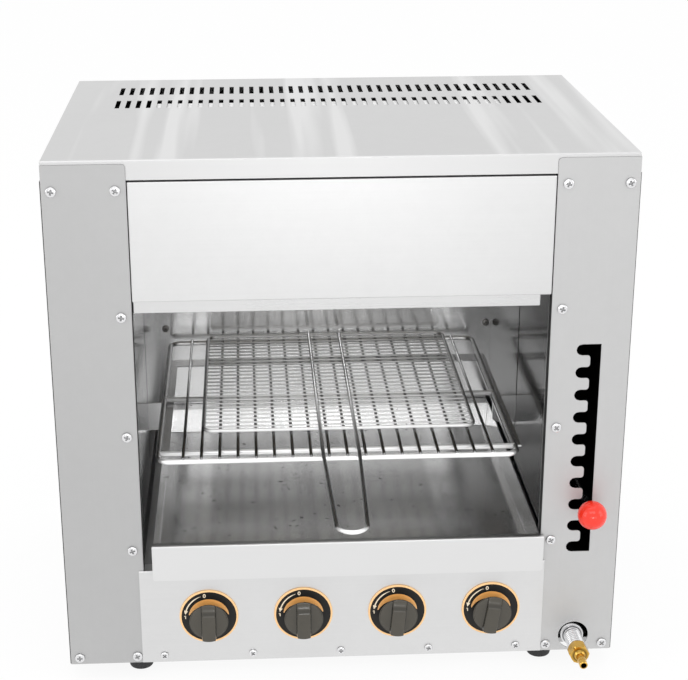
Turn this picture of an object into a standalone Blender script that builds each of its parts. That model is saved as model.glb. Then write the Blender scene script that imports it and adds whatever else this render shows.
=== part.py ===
"""A countertop gas salamander grill with four overhead burners and a notched lift for its wire rack.

Metres, +Z up, +X to the user's right, -Y towards the user. Places on the body are written as
(x, depth behind the front panels, height above the underside), and at() turns them into world
coordinates, whose origin is the middle of the whole grill's footprint on the worktop.
"""

import math

import bmesh
import bpy
from mathutils import Matrix, Vector

# Sheet metal
SHEET = 0.001
BEND = 0.0012
BEND_SEGMENTS = 2
SEAT = 0.0003
OVERRUN = 0.004
WELD_LIMIT = 0.00001

# Body
BODY_WIDTH = 0.580
BODY_DEPTH = 0.400
BODY_HEIGHT = 0.550
COLUMN_WIDTH = 0.0815
TOP_FLANGE = 0.020
PANEL_TOP_DROP = 0.004
PANEL_RETURN = 0.014
PANEL_CORNER = 0.004
SIDE_RETURN = 0.013
BASE_FLANGE = 0.006
BASE_FRONT_CLEARANCE = 0.0006

# Vent slots in the top cover
VENT_COUNT = 42
VENT_END_INSET = 0.0563
VENT_WIDTH = 0.005
VENT_LENGTH = 0.040
VENT_REAR_INSET = 0.069
VENT_ROW_PITCH = 0.072

# Feet
FOOT_HEIGHT = 0.018
FOOT_TOP_RADIUS = 0.015
FOOT_BOTTOM_RADIUS = 0.0125
FOOT_INSET_X = 0.0725
FOOT_INSET_Y = 0.027
FOOT_EDGE = 0.002
FOOT_STEPS = 20

# Fascia above the opening
FASCIA_HEIGHT = 0.122
FASCIA_TOP_GAP = 0.0016
FASCIA_SIDE_GAP = 0.0005

# Control panel
CONTROL_LAP = 0.0053
CONTROL_HEIGHT = 0.110
CONTROL_RETURN = 0.014
DIAL_COUNT = 4
DIAL_END_INSET = 0.0585
DIAL_ROW_SHIFT = 0.008
DIAL_DROP = 0.055
STEM_HOLE_RADIUS = 0.006

# Dial plates, knobs and valve stems
DIAL_RADIUS = 0.031
DIAL_THICKNESS = 0.0008
DIAL_RIM = 0.002
DIAL_RIM_RISE = 0.0005
DIAL_STEPS = 32
KNOB_RADIUS = 0.0205
KNOB_FACE_RADIUS = 0.0185
KNOB_SKIRT_HEIGHT = 0.006
KNOB_BASE_HEIGHT = 0.0085
KNOB_HEIGHT = 0.0145
KNOB_STEPS = 32
KNOB_TURNS_DEG = (0, 0, -5, -9)
GRIP_WIDTH = 0.0148
GRIP_SLOPE_START = 0.0195
GRIP_SLOPE_MIDDLE = 0.0145
GRIP_SLOPE_RISE = 0.0015
GRIP_SLOPE_END = 0.009
GRIP_DIP = 0.0012
GRIP_OVERHANG = 0.0004
GRIP_EDGE = 0.0012
KNOB_TRAVEL = 0.003
KNOB_TRAVEL_CLEARANCE = 0.0005
STEM_RADIUS = 0.004
STEM_GAP = 0.0003
STEM_STEPS = 16
STEM_IN_KNOB = 0.0095
STEM_IN_VALVE = 0.012
STEM_EDGE = 0.0006

# Valves and gas manifold
VALVE_COLLAR_RADIUS = 0.008
VALVE_COLLAR_LENGTH = 0.014
VALVE_BODY_RADIUS = 0.012
VALVE_BODY_LENGTH = 0.019
VALVE_NECK_RADIUS = 0.0065
VALVE_NECK_LENGTH = 0.0075
VALVE_PORT_RADIUS = 0.0065
VALVE_PORT_RISE = 0.020
VALVE_STEPS = 16
PIPE_RADIUS = 0.009
PIPE_BEND = 0.0165
PIPE_END_OVERHANG = 0.023
PIPE_SIDES = 2
BEND_STEPS = 4

# Gas inlet
INLET_INSET = 0.0429
INLET_HEIGHT = 0.0203
INLET_HOLE_INSET = 0.0410
INLET_HOLE_DROP = 0.0023
INLET_HOLE_RADIUS = 0.0163
INLET_HOLE_STEPS = 32
PIPE_FRONT_DEPTH = 0.0095
COUPLING_THREAD_RADIUS = 0.0075
COUPLING_THREAD_LENGTH = 0.008
COUPLING_FLANGE_RADIUS = 0.0124
COUPLING_FLANGE_LENGTH = 0.0065
COUPLING_COLLAR_RADIUS = 0.0085
COUPLING_COLLAR_LENGTH = 0.0255
COUPLING_EDGE = 0.0012
NIPPLE_HEX_RADIUS = 0.0110
NIPPLE_HEX_LENGTH = 0.0135
NIPPLE_TAPER_RADIUS = 0.007
NIPPLE_TAPER_LENGTH = 0.003
NIPPLE_TAIL_RADIUS = 0.0042
NIPPLE_BARB_RISE = 0.0003
NIPPLE_BARB_LENGTH = 0.005
NIPPLE_BARB_COUNT = 3
NIPPLE_TIP_RADIUS = 0.0043
NIPPLE_TIP_LENGTH = 0.0025
NIPPLE_BORE_RADIUS = 0.0028
NIPPLE_STEPS = 20
HEX_SIDES = 6

# Cooking cavity linings
LINER_INSET = 0.0003
LINER_BACK_INSET = 0.025
RUNNER_WIDTH = 0.0208
BACK_LINER_DROP = 0.012
SLOT_BACK_INSET = 0.195
SLOT_WIDTH = 0.005
SLOT_UNDER_BRACKET = 0.054
SLOT_TOP_DROP = 0.0417
SLOT_END_STEPS = 6

# Burner hood, burners and ceramic tiles
HOOD_RIGHT_GAP = 0.0102
HOOD_FRONT_DEPTH = 0.006
HOOD_BACK_GAP = 0.003
HOOD_LIP = 0.0129
HOOD_HEIGHT = 0.0522
HOOD_PLATE_OVERHANG = 0.0032
HOOD_PLATE_BACK_OVERHANG = 0.0015
HOOD_WALL_BITE = 0.0005
BURNER_ROW_INSET = 0.00725
BURNER_GAP = 0.006
BURNER_FRONT_DEPTH = 0.052
BURNER_BACK_GAP = 0.043
BURNER_HEIGHT = 0.044
BURNER_WALL = 0.0015
BURNER_BEND = 0.006
BURNER_MOUTH_MARGIN = 0.0015
MIXER_RADIUS = 0.012
MIXER_BORE_RADIUS = 0.010
MIXER_LENGTH = 0.024
MIXER_HEIGHT = 0.022
MIXER_STEPS = 16
TILE_THICKNESS = 0.013
TILE_DROP = 0.006
TILE_CLEARANCE = 0.0005
TILE_GROOVE_WIDTH = 0.002
TILE_GROOVE_DEPTH = 0.0015

# Heat shield under the vents
SHIELD_SIDE_INSET = 0.0145
SHIELD_FRONT_DEPTH = 0.020
SHIELD_REAR_INSET = 0.128
SHIELD_DROP = 0.007

# Gas tubes from the valves to the burners
TUBE_RADIUS = 0.004
TUBE_BEND = 0.011
TUBE_RUN_DROP = 0.016
TUBE_REAR_GAP = 0.0115
TUBE_IN_MIXER = 0.008
TUBE_SIDES = 1

# Drip tray
TRAY_LEFT_GAP = 0.0098
TRAY_RIGHT_GAP = 0.0006
TRAY_DRAFT = 0.003
TRAY_HEIGHT = 0.0303
TRAY_FLANGE_WIDTH = 0.0155
TRAY_BACK_GAP = 0.0015
TRAY_FACE_LEFT_GAP = 0.0095
TRAY_FACE_RIGHT_LAP = 0.0025
TRAY_FACE_PROUD = 0.007
TRAY_HEM_RISE = 0.0004
TRAY_FACE_HEIGHT = 0.040
TRAY_FACE_CORNER = 0.003
TRAY_HEM_BITE = 0.0007

# Rack
RACK_SHIFT = -0.0036
RACK_SIDE_GAP = 0.0215
RACK_FRONT_DEPTH = 0.013
RACK_BACK_GAP = 0.013
RACK_OVER_LEVER = 0.05369
RACK_ROD_RADIUS = 0.003
RACK_CORNER = 0.012
RACK_CORNER_STEPS = 4
RACK_SECOND_OFFSET = 0.0105
RACK_WIRE_COUNT = 18
RACK_WIRE_INSET = 0.02635
RACK_WIRE_RADIUS = 0.0016
RACK_WIRE_BITE = 0.0009
ROD_SIDES = 2
WIRE_SIDES = 1

# Hand net
NET_SHIFT = 0.001
NET_SIDE_INSET = 0.042
NET_FRONT_INSET = 0.059
NET_BACK_INSET = 0.002
NET_ROD_RADIUS = 0.002
NET_CORNER = 0.010
NET_WIRE_COUNT = 26
NET_WIRE_RADIUS = 0.0009
NET_WIRE_BITE = 0.0009
HANDLE_SHIFT = -0.0013
HANDLE_HALF_WIDTH = 0.0187
HANDLE_END_HALF_WIDTH = 0.0145
HANDLE_BEND_DEPTH = 0.004
HANDLE_REACH = 0.173
HANDLE_TURN_STEPS = 8

# Lift carriage
ARM_INSET = 0.007
ARM_WIDTH = 0.012
ARM_THICKNESS = 0.002
ARM_FRONT_INSET = 0.029
ARM_REAR_GAP = 0.0614
CROSS_STRIP_WIDTH = 0.020
BRACKET_THICKNESS = 0.003
BRACKET_INSET = 0.003
BRACKET_CHAMFER = 0.004
BRACKET_HEIGHT = 0.0327
GUIDE_OFFSET = 0.0205
GUIDE_RADIUS = 0.004
GUIDE_GAP = 0.0004
GUIDE_OVER_SLOT = 0.008
GUIDE_FOOT_RADIUS = 0.010
GUIDE_FOOT_THICKNESS = 0.003
GUIDE_ARM_WIDTH = 0.010
GUIDE_ARM_HEIGHT = 0.008
BUSH_RADIUS = 0.0075
BUSH_STEPS = 16

# Lift lever, its notched slot and the ball
NOTCH_COUNT = 10
NOTCH_PITCH = 0.02467
NOTCH_FOOT_RISE = 0.01497
NOTCH_HALF_HEIGHT = 0.006
NOTCH_REACH = 0.0145
CHANNEL_WIDTH = 0.0107
CHANNEL_INSET = 0.0288
LAND_CORNER = 0.003
NOTCH_AT_REST = 7
NOTCH_ARC_STEPS = 6
LAND_ARC_STEPS = 3
LEVER_RADIUS = 0.004
LEVER_STEPS = 12
LEVER_TIP_PROUD = 0.020
EYE_RADIUS = 0.007
EYE_BORE_RADIUS = 0.0029
PIN_RADIUS = 0.0025
LUG_THICKNESS = 0.003
LUG_GAP = 0.0004
LUG_HALF_WIDTH = 0.008
LUG_BACK = 0.012
CLEVIS_WALL = 0.003
BALL_RADIUS = 0.015
BALL_PROUD = 0.026
BALL_BORE_DEPTH = 0.010
BALL_SEGMENTS = 22
BALL_RINGS = 12

# Derived places across the body
HALF_WIDTH = BODY_WIDTH / 2
OPENING_WIDTH = BODY_WIDTH - 2 * COLUMN_WIDTH
HALF_OPENING = OPENING_WIDTH / 2
VENT_PITCH = (BODY_WIDTH - 2 * VENT_END_INSET) / (VENT_COUNT - 1)
CONTROL_WIDTH = OPENING_WIDTH + 2 * CONTROL_LAP
DIAL_PITCH = 2 * (HALF_OPENING - DIAL_END_INSET) / (DIAL_COUNT - 1)
INLET_X = HALF_WIDTH - INLET_INSET
INLET_HOLE_X = HALF_WIDTH - INLET_HOLE_INSET
LINER_X = HALF_OPENING + SHEET + LINER_INSET
HOOD_PLATE_HALF_WIDTH = LINER_X + SHEET + HOOD_PLATE_OVERHANG
HOOD_LEFT = SEAT - HALF_OPENING
HOOD_RIGHT = HALF_OPENING - HOOD_RIGHT_GAP
HOOD_MIDDLE = (HOOD_LEFT + HOOD_RIGHT) / 2
BURNER_PITCH = (HOOD_RIGHT - HOOD_LEFT - 2 * BURNER_ROW_INSET) / DIAL_COUNT
BURNER_WIDTH = BURNER_PITCH - BURNER_GAP
SHIELD_HALF_WIDTH = HALF_OPENING - SHIELD_SIDE_INSET
TRAY_LEFT = TRAY_LEFT_GAP - HALF_OPENING
TRAY_RIGHT = HALF_OPENING - TRAY_RIGHT_GAP
TRAY_FACE_LEFT = TRAY_FACE_LEFT_GAP - HALF_OPENING
TRAY_FACE_RIGHT = HALF_OPENING + TRAY_FACE_RIGHT_LAP
RACK_HALF_WIDTH = HALF_OPENING - RACK_SIDE_GAP
RACK_WIRE_PITCH = 2 * (RACK_HALF_WIDTH - RACK_WIRE_INSET) / (RACK_WIRE_COUNT - 1)
NET_HALF_WIDTH = RACK_HALF_WIDTH - NET_SIDE_INSET
ARM_INNER = RACK_HALF_WIDTH - ARM_INSET
BRACKET_INNER = ARM_INNER + BRACKET_INSET
GUIDE_X = HALF_OPENING + GUIDE_OFFSET
CHANNEL_RIGHT = HALF_WIDTH - CHANNEL_INSET
CHANNEL_LEFT = CHANNEL_RIGHT - CHANNEL_WIDTH
NOTCH_END_X = CHANNEL_LEFT - NOTCH_REACH
LEVER_X = (CHANNEL_LEFT + CHANNEL_RIGHT) / 2

# Derived depths
FRONT = (HANDLE_REACH - BODY_DEPTH) / 2
VENT_REAR_DEPTH = BODY_DEPTH - VENT_REAR_INSET
CONTROL_FRONT = -(SEAT + SHEET)
DIAL_BACK = CONTROL_FRONT - SEAT
DIAL_FRONT = DIAL_BACK - DIAL_THICKNESS
KNOB_BACK = DIAL_FRONT - DIAL_RIM_RISE - KNOB_TRAVEL - KNOB_TRAVEL_CLEARANCE
VALVE_LENGTH = VALVE_COLLAR_LENGTH + VALVE_BODY_LENGTH + VALVE_NECK_LENGTH
VALVE_PORT_DEPTH = VALVE_COLLAR_LENGTH + VALVE_BODY_LENGTH / 2
MANIFOLD_DEPTH = VALVE_LENGTH + SEAT + PIPE_RADIUS
LINER_BACK_DEPTH = BODY_DEPTH - LINER_BACK_INSET
HOOD_BACK_DEPTH = LINER_BACK_DEPTH - HOOD_BACK_GAP
HOOD_PLATE_BACK = LINER_BACK_DEPTH + SHEET + HOOD_PLATE_BACK_OVERHANG
BURNER_LENGTH = LINER_BACK_DEPTH - BURNER_BACK_GAP - BURNER_FRONT_DEPTH
SHIELD_REAR_DEPTH = BODY_DEPTH - SHIELD_REAR_INSET
TUBE_REAR_DEPTH = LINER_BACK_DEPTH + TUBE_REAR_GAP
TRAY_FLANGE_BACK = LINER_BACK_DEPTH - TRAY_BACK_GAP
TRAY_BACK_DEPTH = TRAY_FLANGE_BACK - TRAY_FLANGE_WIDTH
SLOT_DEPTH = LINER_BACK_DEPTH - SLOT_BACK_INSET
RACK_LENGTH = LINER_BACK_DEPTH - RACK_BACK_GAP - RACK_FRONT_DEPTH
RACK_MIDDLE_DEPTH = SLOT_DEPTH
RACK_SECOND_DEPTH = RACK_FRONT_DEPTH + RACK_SECOND_OFFSET
NET_FRONT_DEPTH = RACK_FRONT_DEPTH + NET_FRONT_INSET
NET_LENGTH = RACK_FRONT_DEPTH + RACK_LENGTH - NET_BACK_INSET - NET_FRONT_DEPTH
ARM_FRONT_DEPTH = RACK_FRONT_DEPTH + ARM_FRONT_INSET
ARM_REAR_DEPTH = LINER_BACK_DEPTH - ARM_REAR_GAP

# Derived heights
TOP_SKIN_BOTTOM = BODY_HEIGHT - TOP_FLANGE
FASCIA_TOP = TOP_SKIN_BOTTOM - FASCIA_TOP_GAP
FASCIA_BOTTOM = FASCIA_TOP - FASCIA_HEIGHT
HOOD_BOTTOM = FASCIA_BOTTOM - HOOD_LIP
LINER_TOP = HOOD_BOTTOM + HOOD_HEIGHT
HOOD_PLATE_BOTTOM = LINER_TOP + SEAT
BURNER_BOTTOM = HOOD_PLATE_BOTTOM + SHEET + SEAT
DIAL_HEIGHT = CONTROL_HEIGHT - DIAL_DROP
RUNNER_TOP = CONTROL_HEIGHT
BACK_LINER_BOTTOM = RUNNER_TOP - BACK_LINER_DROP
TUBE_RUN_HEIGHT = RUNNER_TOP - TUBE_RUN_DROP
TRAY_BOTTOM = RUNNER_TOP + SEAT
TRAY_RIM = TRAY_BOTTOM + TRAY_HEIGHT
TRAY_FACE_TOP = TRAY_RIM + TRAY_HEM_RISE
NOTCH_TOP_HEIGHT = CONTROL_HEIGHT + NOTCH_FOOT_RISE + (NOTCH_COUNT - 1) * NOTCH_PITCH
LEVER_HEIGHT = NOTCH_TOP_HEIGHT - NOTCH_AT_REST * NOTCH_PITCH
RACK_ROD_HEIGHT = LEVER_HEIGHT + RACK_OVER_LEVER
RACK_WIRE_HEIGHT = RACK_ROD_HEIGHT + RACK_ROD_RADIUS + RACK_WIRE_RADIUS - RACK_WIRE_BITE
NET_HEIGHT = RACK_WIRE_HEIGHT + RACK_WIRE_RADIUS + SEAT + NET_ROD_RADIUS
HANDLE_HEIGHT = NET_HEIGHT + NET_WIRE_RADIUS + NET_ROD_RADIUS - NET_WIRE_BITE
ARM_TOP = RACK_ROD_HEIGHT - RACK_ROD_RADIUS - SEAT
BRACKET_BOTTOM = ARM_TOP - BRACKET_HEIGHT
SLOT_BOTTOM = BRACKET_BOTTOM - SLOT_UNDER_BRACKET
SLOT_TOP = LINER_TOP - SLOT_TOP_DROP
GUIDE_TOP = SLOT_TOP + GUIDE_OVER_SLOT
SIDES = ((-1, "left"), (1, "right"))

STEEL = ("brushed_steel", (0.72, 0.73, 0.74), 0.32, 1.0)
MIRROR_STEEL = ("mirror_steel", (0.62, 0.63, 0.65), 0.16, 1.0)
DARK_STEEL = ("dark_steel", (0.32, 0.32, 0.33), 0.45, 1.0)
WIRE_STEEL = ("chromed_wire", (0.80, 0.81, 0.82), 0.12, 1.0)
ZINC = ("zinc_plated", (0.78, 0.79, 0.82), 0.28, 1.0)
BRASS = ("brass", (0.85, 0.62, 0.24), 0.22, 1.0)
ALUMINIUM = ("aluminium_tube", (0.80, 0.80, 0.81), 0.35, 1.0)
CERAMIC = ("ceramic", (0.88, 0.82, 0.72), 0.85, 0.0)
BLACK_PLATE = ("dial_black", (0.03, 0.03, 0.03), 0.35, 0.0)
KNOB_PLASTIC = ("knob_plastic", (0.075, 0.072, 0.06), 0.38, 0.0)
RED_PLASTIC = ("red_plastic", (0.95, 0.07, 0.03), 0.15, 0.0)
RUBBER = ("rubber", (0.03, 0.03, 0.03), 0.75, 0.0)


def at(x, depth, height):
    """World coordinates of a place on the body."""
    return Vector((x, FRONT + depth, FOOT_HEIGHT + height))


def clear_scene():
    for existing in list(bpy.data.objects):
        bpy.data.objects.remove(existing, do_unlink=True)


def collection(name, hidden=False):
    made = bpy.data.collections.new(name)
    bpy.context.scene.collection.children.link(made)
    made.hide_render = hidden
    return made


clear_scene()
PARTS = collection("salamander_grill")
CUTTERS = collection("salamander_grill_cutters", hidden=True)


def material(look):
    """The material of a look (name, base colour, roughness, metallic), made once."""
    name, colour, roughness, metallic = look
    found = bpy.data.materials.get(name)
    if found:
        return found
    made = bpy.data.materials.new(name)
    made.use_nodes = True
    made.diffuse_color = (*colour, 1.0)
    shader = made.node_tree.nodes["Principled BSDF"]
    shader.inputs["Base Color"].default_value = (*colour, 1.0)
    shader.inputs["Roughness"].default_value = roughness
    shader.inputs["Metallic"].default_value = metallic
    return made


def add_object(name, data, look=None, place=None):
    """Links an object, to the parts when it has a look and to the cutters otherwise."""
    obj = bpy.data.objects.new(name, data)
    if place is not None:
        obj.location = place
    if look is None:
        obj.hide_render = True
        obj.display_type = "WIRE"
        CUTTERS.objects.link(obj)
    else:
        data.materials.append(material(look))
        PARTS.objects.link(obj)
    return obj


def smooth(obj, angle_deg=40):
    obj.data.shade_smooth()
    obj.data.set_sharp_from_angle(angle=math.radians(angle_deg))


def block(name, low, high, look=None, corner=0):
    """An upright box between two corners on the body, its upright edges rounded by the corner radius."""
    low, high = at(*low), at(*high)
    mesh = bpy.data.meshes.new(name)
    shape = bmesh.new()
    bmesh.ops.create_cube(shape, size=1, matrix=Matrix.Diagonal((*(high - low), 1)))
    if corner:
        upright = [edge for edge in shape.edges if edge.verts[0].co.xy == edge.verts[1].co.xy]
        bmesh.ops.bevel(shape, geom=upright, offset=corner, segments=BEND_SEGMENTS, profile=0.5, affect="EDGES")
    shape.to_mesh(mesh)
    shape.free()
    return add_object(name, mesh, look, (low + high) / 2)


FACES = {"left": (-1, 0, 0), "right": (1, 0, 0), "front": (0, -1, 0), "back": (0, 1, 0),
         "bottom": (0, 0, -1), "top": (0, 0, 1)}


def folded(name, low, high, walls, look=None, wall=SHEET, bend=BEND, draft=0):
    """A sheet folded along the edges of a box, of which only the named walls are kept.

    The sheet lies inside the box. draft draws in the bottom edges of the walls on each side.
    """
    low, high = at(*low), at(*high)
    centre, extent = (low + high) / 2, high - low
    mesh = bpy.data.meshes.new(name)
    shape = bmesh.new()
    bmesh.ops.create_cube(shape, size=1, matrix=Matrix.Diagonal((*extent, 1)))
    if draft:
        for vertex in shape.verts:
            if vertex.co.z < 0:
                vertex.co.x -= math.copysign(draft, vertex.co.x)
                vertex.co.y -= math.copysign(draft, vertex.co.y)
    kept = [Vector(FACES[side]) for side in walls]
    gone = [face for face in shape.faces if not any(face.normal.dot(way) > 0.9 for way in kept)]
    bmesh.ops.delete(shape, geom=gone, context="FACES")
    shape.to_mesh(mesh)
    shape.free()
    obj = add_object(name, mesh, look, centre)
    add_bevel(obj, bend, BEND_SEGMENTS)
    shell = obj.modifiers.new("sheet", "SOLIDIFY")
    shell.thickness = wall
    shell.offset = -1
    shell.use_even_offset = True
    return obj


def add_bevel(obj, width, segments, angle_deg=30):
    bevel = obj.modifiers.new("edge", "BEVEL")
    bevel.width = width
    bevel.segments = segments
    bevel.limit_method = "ANGLE"
    bevel.angle_limit = math.radians(angle_deg)
    return bevel


def boolean(target, tool, operation):
    step = target.modifiers.new(operation.lower(), "BOOLEAN")
    step.operation = operation
    step.object = tool
    step.solver = "EXACT"
    if tool.name not in CUTTERS.objects:
        PARTS.objects.unlink(tool)
        CUTTERS.objects.link(tool)
        tool.hide_render = True
        tool.display_type = "WIRE"


def cut(target, *tools):
    for tool in tools:
        boolean(target, tool, "DIFFERENCE")


def join(target, *tools):
    for tool in tools:
        boolean(target, tool, "UNION")


def turned(name, profile, place, look=None, towards="front", steps=VALVE_STEPS, closed=False):
    """A solid turned from (radius, reach) points, running down its outer side from its far end.

    The reach is measured from the place towards the front, or upwards.
    """
    mesh = bpy.data.meshes.new(name)
    shape = bmesh.new()
    points = [shape.verts.new((radius, 0, reach)) for radius, reach in profile]
    for first, second in zip(points, points[1:]):
        shape.edges.new((first, second))
    if closed:
        shape.edges.new((points[-1], points[0]))
    shape.to_mesh(mesh)
    shape.free()
    obj = add_object(name, mesh, look, place)
    if towards == "front":
        obj.rotation_euler.x = math.pi / 2
    screw = obj.modifiers.new("turn", "SCREW")
    screw.axis = "Z"
    screw.steps = screw.render_steps = steps
    screw.use_smooth_shade = True
    screw.use_merge_vertices = True
    screw.merge_threshold = WELD_LIMIT
    return obj


def rod(name, radius, start, reach, look=None, towards="front", steps=STEM_STEPS, edge=0):
    """A round rod from a place towards the front or upwards, its far edge chamfered."""
    profile = [(0, reach), (radius - edge, reach), (radius, reach - edge), (radius, 0), (0, 0)]
    if not edge:
        profile.remove((radius, reach))
    return turned(name, profile, start, look, towards, steps)


def as_mesh(curve_object):
    """Replaces a curve object by the mesh that it draws, with its caps welded on."""
    bpy.context.view_layer.update()
    evaluated = curve_object.evaluated_get(bpy.context.evaluated_depsgraph_get())
    mesh = bpy.data.meshes.new_from_object(evaluated)
    shape = bmesh.new()
    shape.from_mesh(mesh)
    bmesh.ops.remove_doubles(shape, verts=shape.verts, dist=WELD_LIMIT)
    bmesh.ops.recalc_face_normals(shape, faces=shape.faces)
    shape.to_mesh(mesh)
    shape.free()
    made = bpy.data.objects.new(curve_object.name, mesh)
    made.matrix_world = curve_object.matrix_world.copy()
    made.hide_render = curve_object.hide_render
    made.display_type = curve_object.display_type
    for home in curve_object.users_collection:
        home.objects.link(made)
    name = curve_object.name
    bpy.data.objects.remove(curve_object, do_unlink=True)
    made.name = name
    return made


def plate(name, outline, near, far, look=None):
    """A flat outline of (x, height) points, as thick as from the near to the far depth."""
    data = bpy.data.curves.new(name, "CURVE")
    data.dimensions = "2D"
    data.fill_mode = "BOTH"
    data.extrude = (far - near) / 2
    spline = data.splines.new("POLY")
    spline.points.add(len(outline) - 1)
    for point, (x, height) in zip(spline.points, outline):
        point.co = (x, height, 0, 1)
    spline.use_cyclic_u = True
    obj = add_object(name, data, look, at(0, (near + far) / 2, 0))
    obj.rotation_euler.x = math.pi / 2
    return as_mesh(obj)


def arc(x, height, radius, start_deg, end_deg, steps):
    """Points (x, height) round a corner."""
    angles = [math.radians(start_deg + (end_deg - start_deg) * i / steps) for i in range(steps + 1)]
    return [(x + radius * math.cos(angle), height + radius * math.sin(angle)) for angle in angles]


def wires(name, runs, radius, sides, look=None):
    """Round wires along runs of places on the body, each (points, closed), in one mesh."""
    data = bpy.data.curves.new(name, "CURVE")
    data.dimensions = "3D"
    data.bevel_depth = radius
    data.bevel_resolution = sides
    data.use_fill_caps = True
    for points, closed in runs:
        spline = data.splines.new("POLY")
        spline.points.add(len(points) - 1)
        for knot, place in zip(spline.points, points):
            knot.co = (*at(*place), 1)
        spline.use_cyclic_u = closed
    return as_mesh(add_object(name, data, look))


def rounded_route(corners, radius, steps):
    """The corners of a pipe run with each inner corner replaced by an arc of the radius."""
    corners = [Vector(corner) for corner in corners]
    route = [tuple(corners[0])]
    for before, corner, after in zip(corners, corners[1:], corners[2:]):
        to_start, to_end = (before - corner).normalized(), (after - corner).normalized()
        half = to_start.angle(to_end) / 2
        centre = corner + (to_start + to_end).normalized() * (radius / math.sin(half))
        start = corner + to_start * (radius / math.tan(half)) - centre
        end = corner + to_end * (radius / math.tan(half)) - centre
        for i in range(steps + 1):
            route.append(tuple(centre + radius * start.slerp(end, i / steps)))
    route.append(tuple(corners[-1]))
    return route


def rounded_frame(x, half_width, near, far, height, corner, steps):
    """Places round a flat frame with rounded corners."""
    places = []
    for sign_x, sign_y, start in ((1, 1, 0), (-1, 1, 90), (-1, -1, 180), (1, -1, 270)):
        middle = (near + far) / 2
        reach = (far - near) / 2
        for px, py in arc(x + sign_x * (half_width - corner), middle + sign_y * (reach - corner),
                          corner, start, start + 90, steps):
            places.append((px, py, height))
    return places


def mirrored(sign, low, high):
    """Two corners swapped over to the other side of the body where the sign asks for it."""
    if sign > 0:
        return low, high
    return (-high[0], *low[1:]), (-low[0], *high[1:])


def slots(name, places, width, length, thickness):
    """Cutters for a row of long slots, as boxes centred on the places."""
    mesh = bpy.data.meshes.new(name)
    shape = bmesh.new()
    for place in places:
        matrix = Matrix.Translation(at(*place)) @ Matrix.Diagonal((width, length, thickness, 1))
        bmesh.ops.create_cube(shape, size=1, matrix=matrix)
    shape.to_mesh(mesh)
    shape.free()
    return add_object(name, mesh)


# Housing


def top_cover():
    cover = folded("top_cover", (-HALF_WIDTH, SHEET + SEAT, TOP_SKIN_BOTTOM),
                   (HALF_WIDTH, BODY_DEPTH, BODY_HEIGHT), ("top", "left", "right", "front", "back"), STEEL)
    first = -VENT_PITCH * (VENT_COUNT - 1) / 2
    for row, depth in enumerate((VENT_REAR_DEPTH, VENT_REAR_DEPTH - VENT_ROW_PITCH)):
        places = [(first + i * VENT_PITCH, depth, BODY_HEIGHT) for i in range(VENT_COUNT)]
        cut(cover, slots(f"vent_cutter_{row + 1}", places, VENT_WIDTH, VENT_LENGTH, OVERRUN))


def corner_cutter(name, x, height, sign, upwards, radius, near, far):
    """What rounds off a square corner of a plate at (x, height), whose material lies on one side of it."""
    turn = 1 if upwards else -1
    inner = [(x + sign * radius - sign * px, height - turn * radius + turn * pz)
             for px, pz in arc(0, 0, radius, 0, 90, BEND_STEPS)]
    outside = [(x + sign * radius, height + turn * OVERRUN), (x - sign * OVERRUN, height + turn * OVERRUN),
               (x - sign * OVERRUN, height - turn * radius)]
    return plate(name, inner + outside, near - OVERRUN, far + OVERRUN)


def front_panel(sign, side):
    low, high = mirrored(sign, (HALF_OPENING, 0, 0),
                         (HALF_WIDTH, PANEL_RETURN, BODY_HEIGHT - PANEL_TOP_DROP))
    inner_wall = "left" if sign > 0 else "right"
    panel = folded(f"{side}_front_panel", low, high, ("front", inner_wall), STEEL)
    cut(panel, corner_cutter(f"{side}_panel_corner", sign * HALF_OPENING, high[2], sign, True,
                             PANEL_CORNER, 0, PANEL_RETURN))
    low, high = mirrored(sign, (HALF_OPENING - OVERRUN, SHEET, TOP_SKIN_BOTTOM - SEAT),
                         (HALF_OPENING + OVERRUN, PANEL_RETURN + OVERRUN, BODY_HEIGHT))
    cut(panel, block(f"{side}_return_top_cutter", low, high))
    return panel


def notched_slot_outline():
    """The lever's channel with its notches, which open to the channel's left edge."""
    top = NOTCH_TOP_HEIGHT + NOTCH_HALF_HEIGHT
    bottom = NOTCH_TOP_HEIGHT - (NOTCH_COUNT - 1) * NOTCH_PITCH - NOTCH_HALF_HEIGHT
    outline = [(CHANNEL_RIGHT, top), (CHANNEL_RIGHT, bottom)]
    land_x = CHANNEL_LEFT - LAND_CORNER
    for i in reversed(range(NOTCH_COUNT)):
        middle = NOTCH_TOP_HEIGHT - i * NOTCH_PITCH
        low, high = middle - NOTCH_HALF_HEIGHT, middle + NOTCH_HALF_HEIGHT
        if i < NOTCH_COUNT - 1:
            outline += arc(land_x, low - LAND_CORNER, LAND_CORNER, 0, 90, LAND_ARC_STEPS)
        outline += arc(NOTCH_END_X + NOTCH_HALF_HEIGHT, middle, NOTCH_HALF_HEIGHT, 270, 90, NOTCH_ARC_STEPS)
        if i > 0:
            outline += arc(land_x, high + LAND_CORNER, LAND_CORNER, -90, 0, LAND_ARC_STEPS)
    return outline


def right_front_panel():
    panel = front_panel(1, "right")
    cut(panel, plate("notch_cutter", notched_slot_outline(), -OVERRUN, OVERRUN))
    cut(panel, rod("inlet_hole_cutter", INLET_HOLE_RADIUS, at(INLET_HOLE_X, OVERRUN, INLET_HEIGHT - INLET_HOLE_DROP),
                   2 * OVERRUN, steps=INLET_HOLE_STEPS))


def side_panel(sign, side):
    outer = HALF_WIDTH + SEAT + SHEET
    low, high = mirrored(sign, (outer - SIDE_RETURN, SHEET + SEAT, 0),
                         (outer, BODY_DEPTH - SHEET - SEAT, TOP_SKIN_BOTTOM - SEAT))
    folded(f"{side}_side_panel", low, high, ("front", "back", side), STEEL)


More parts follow.
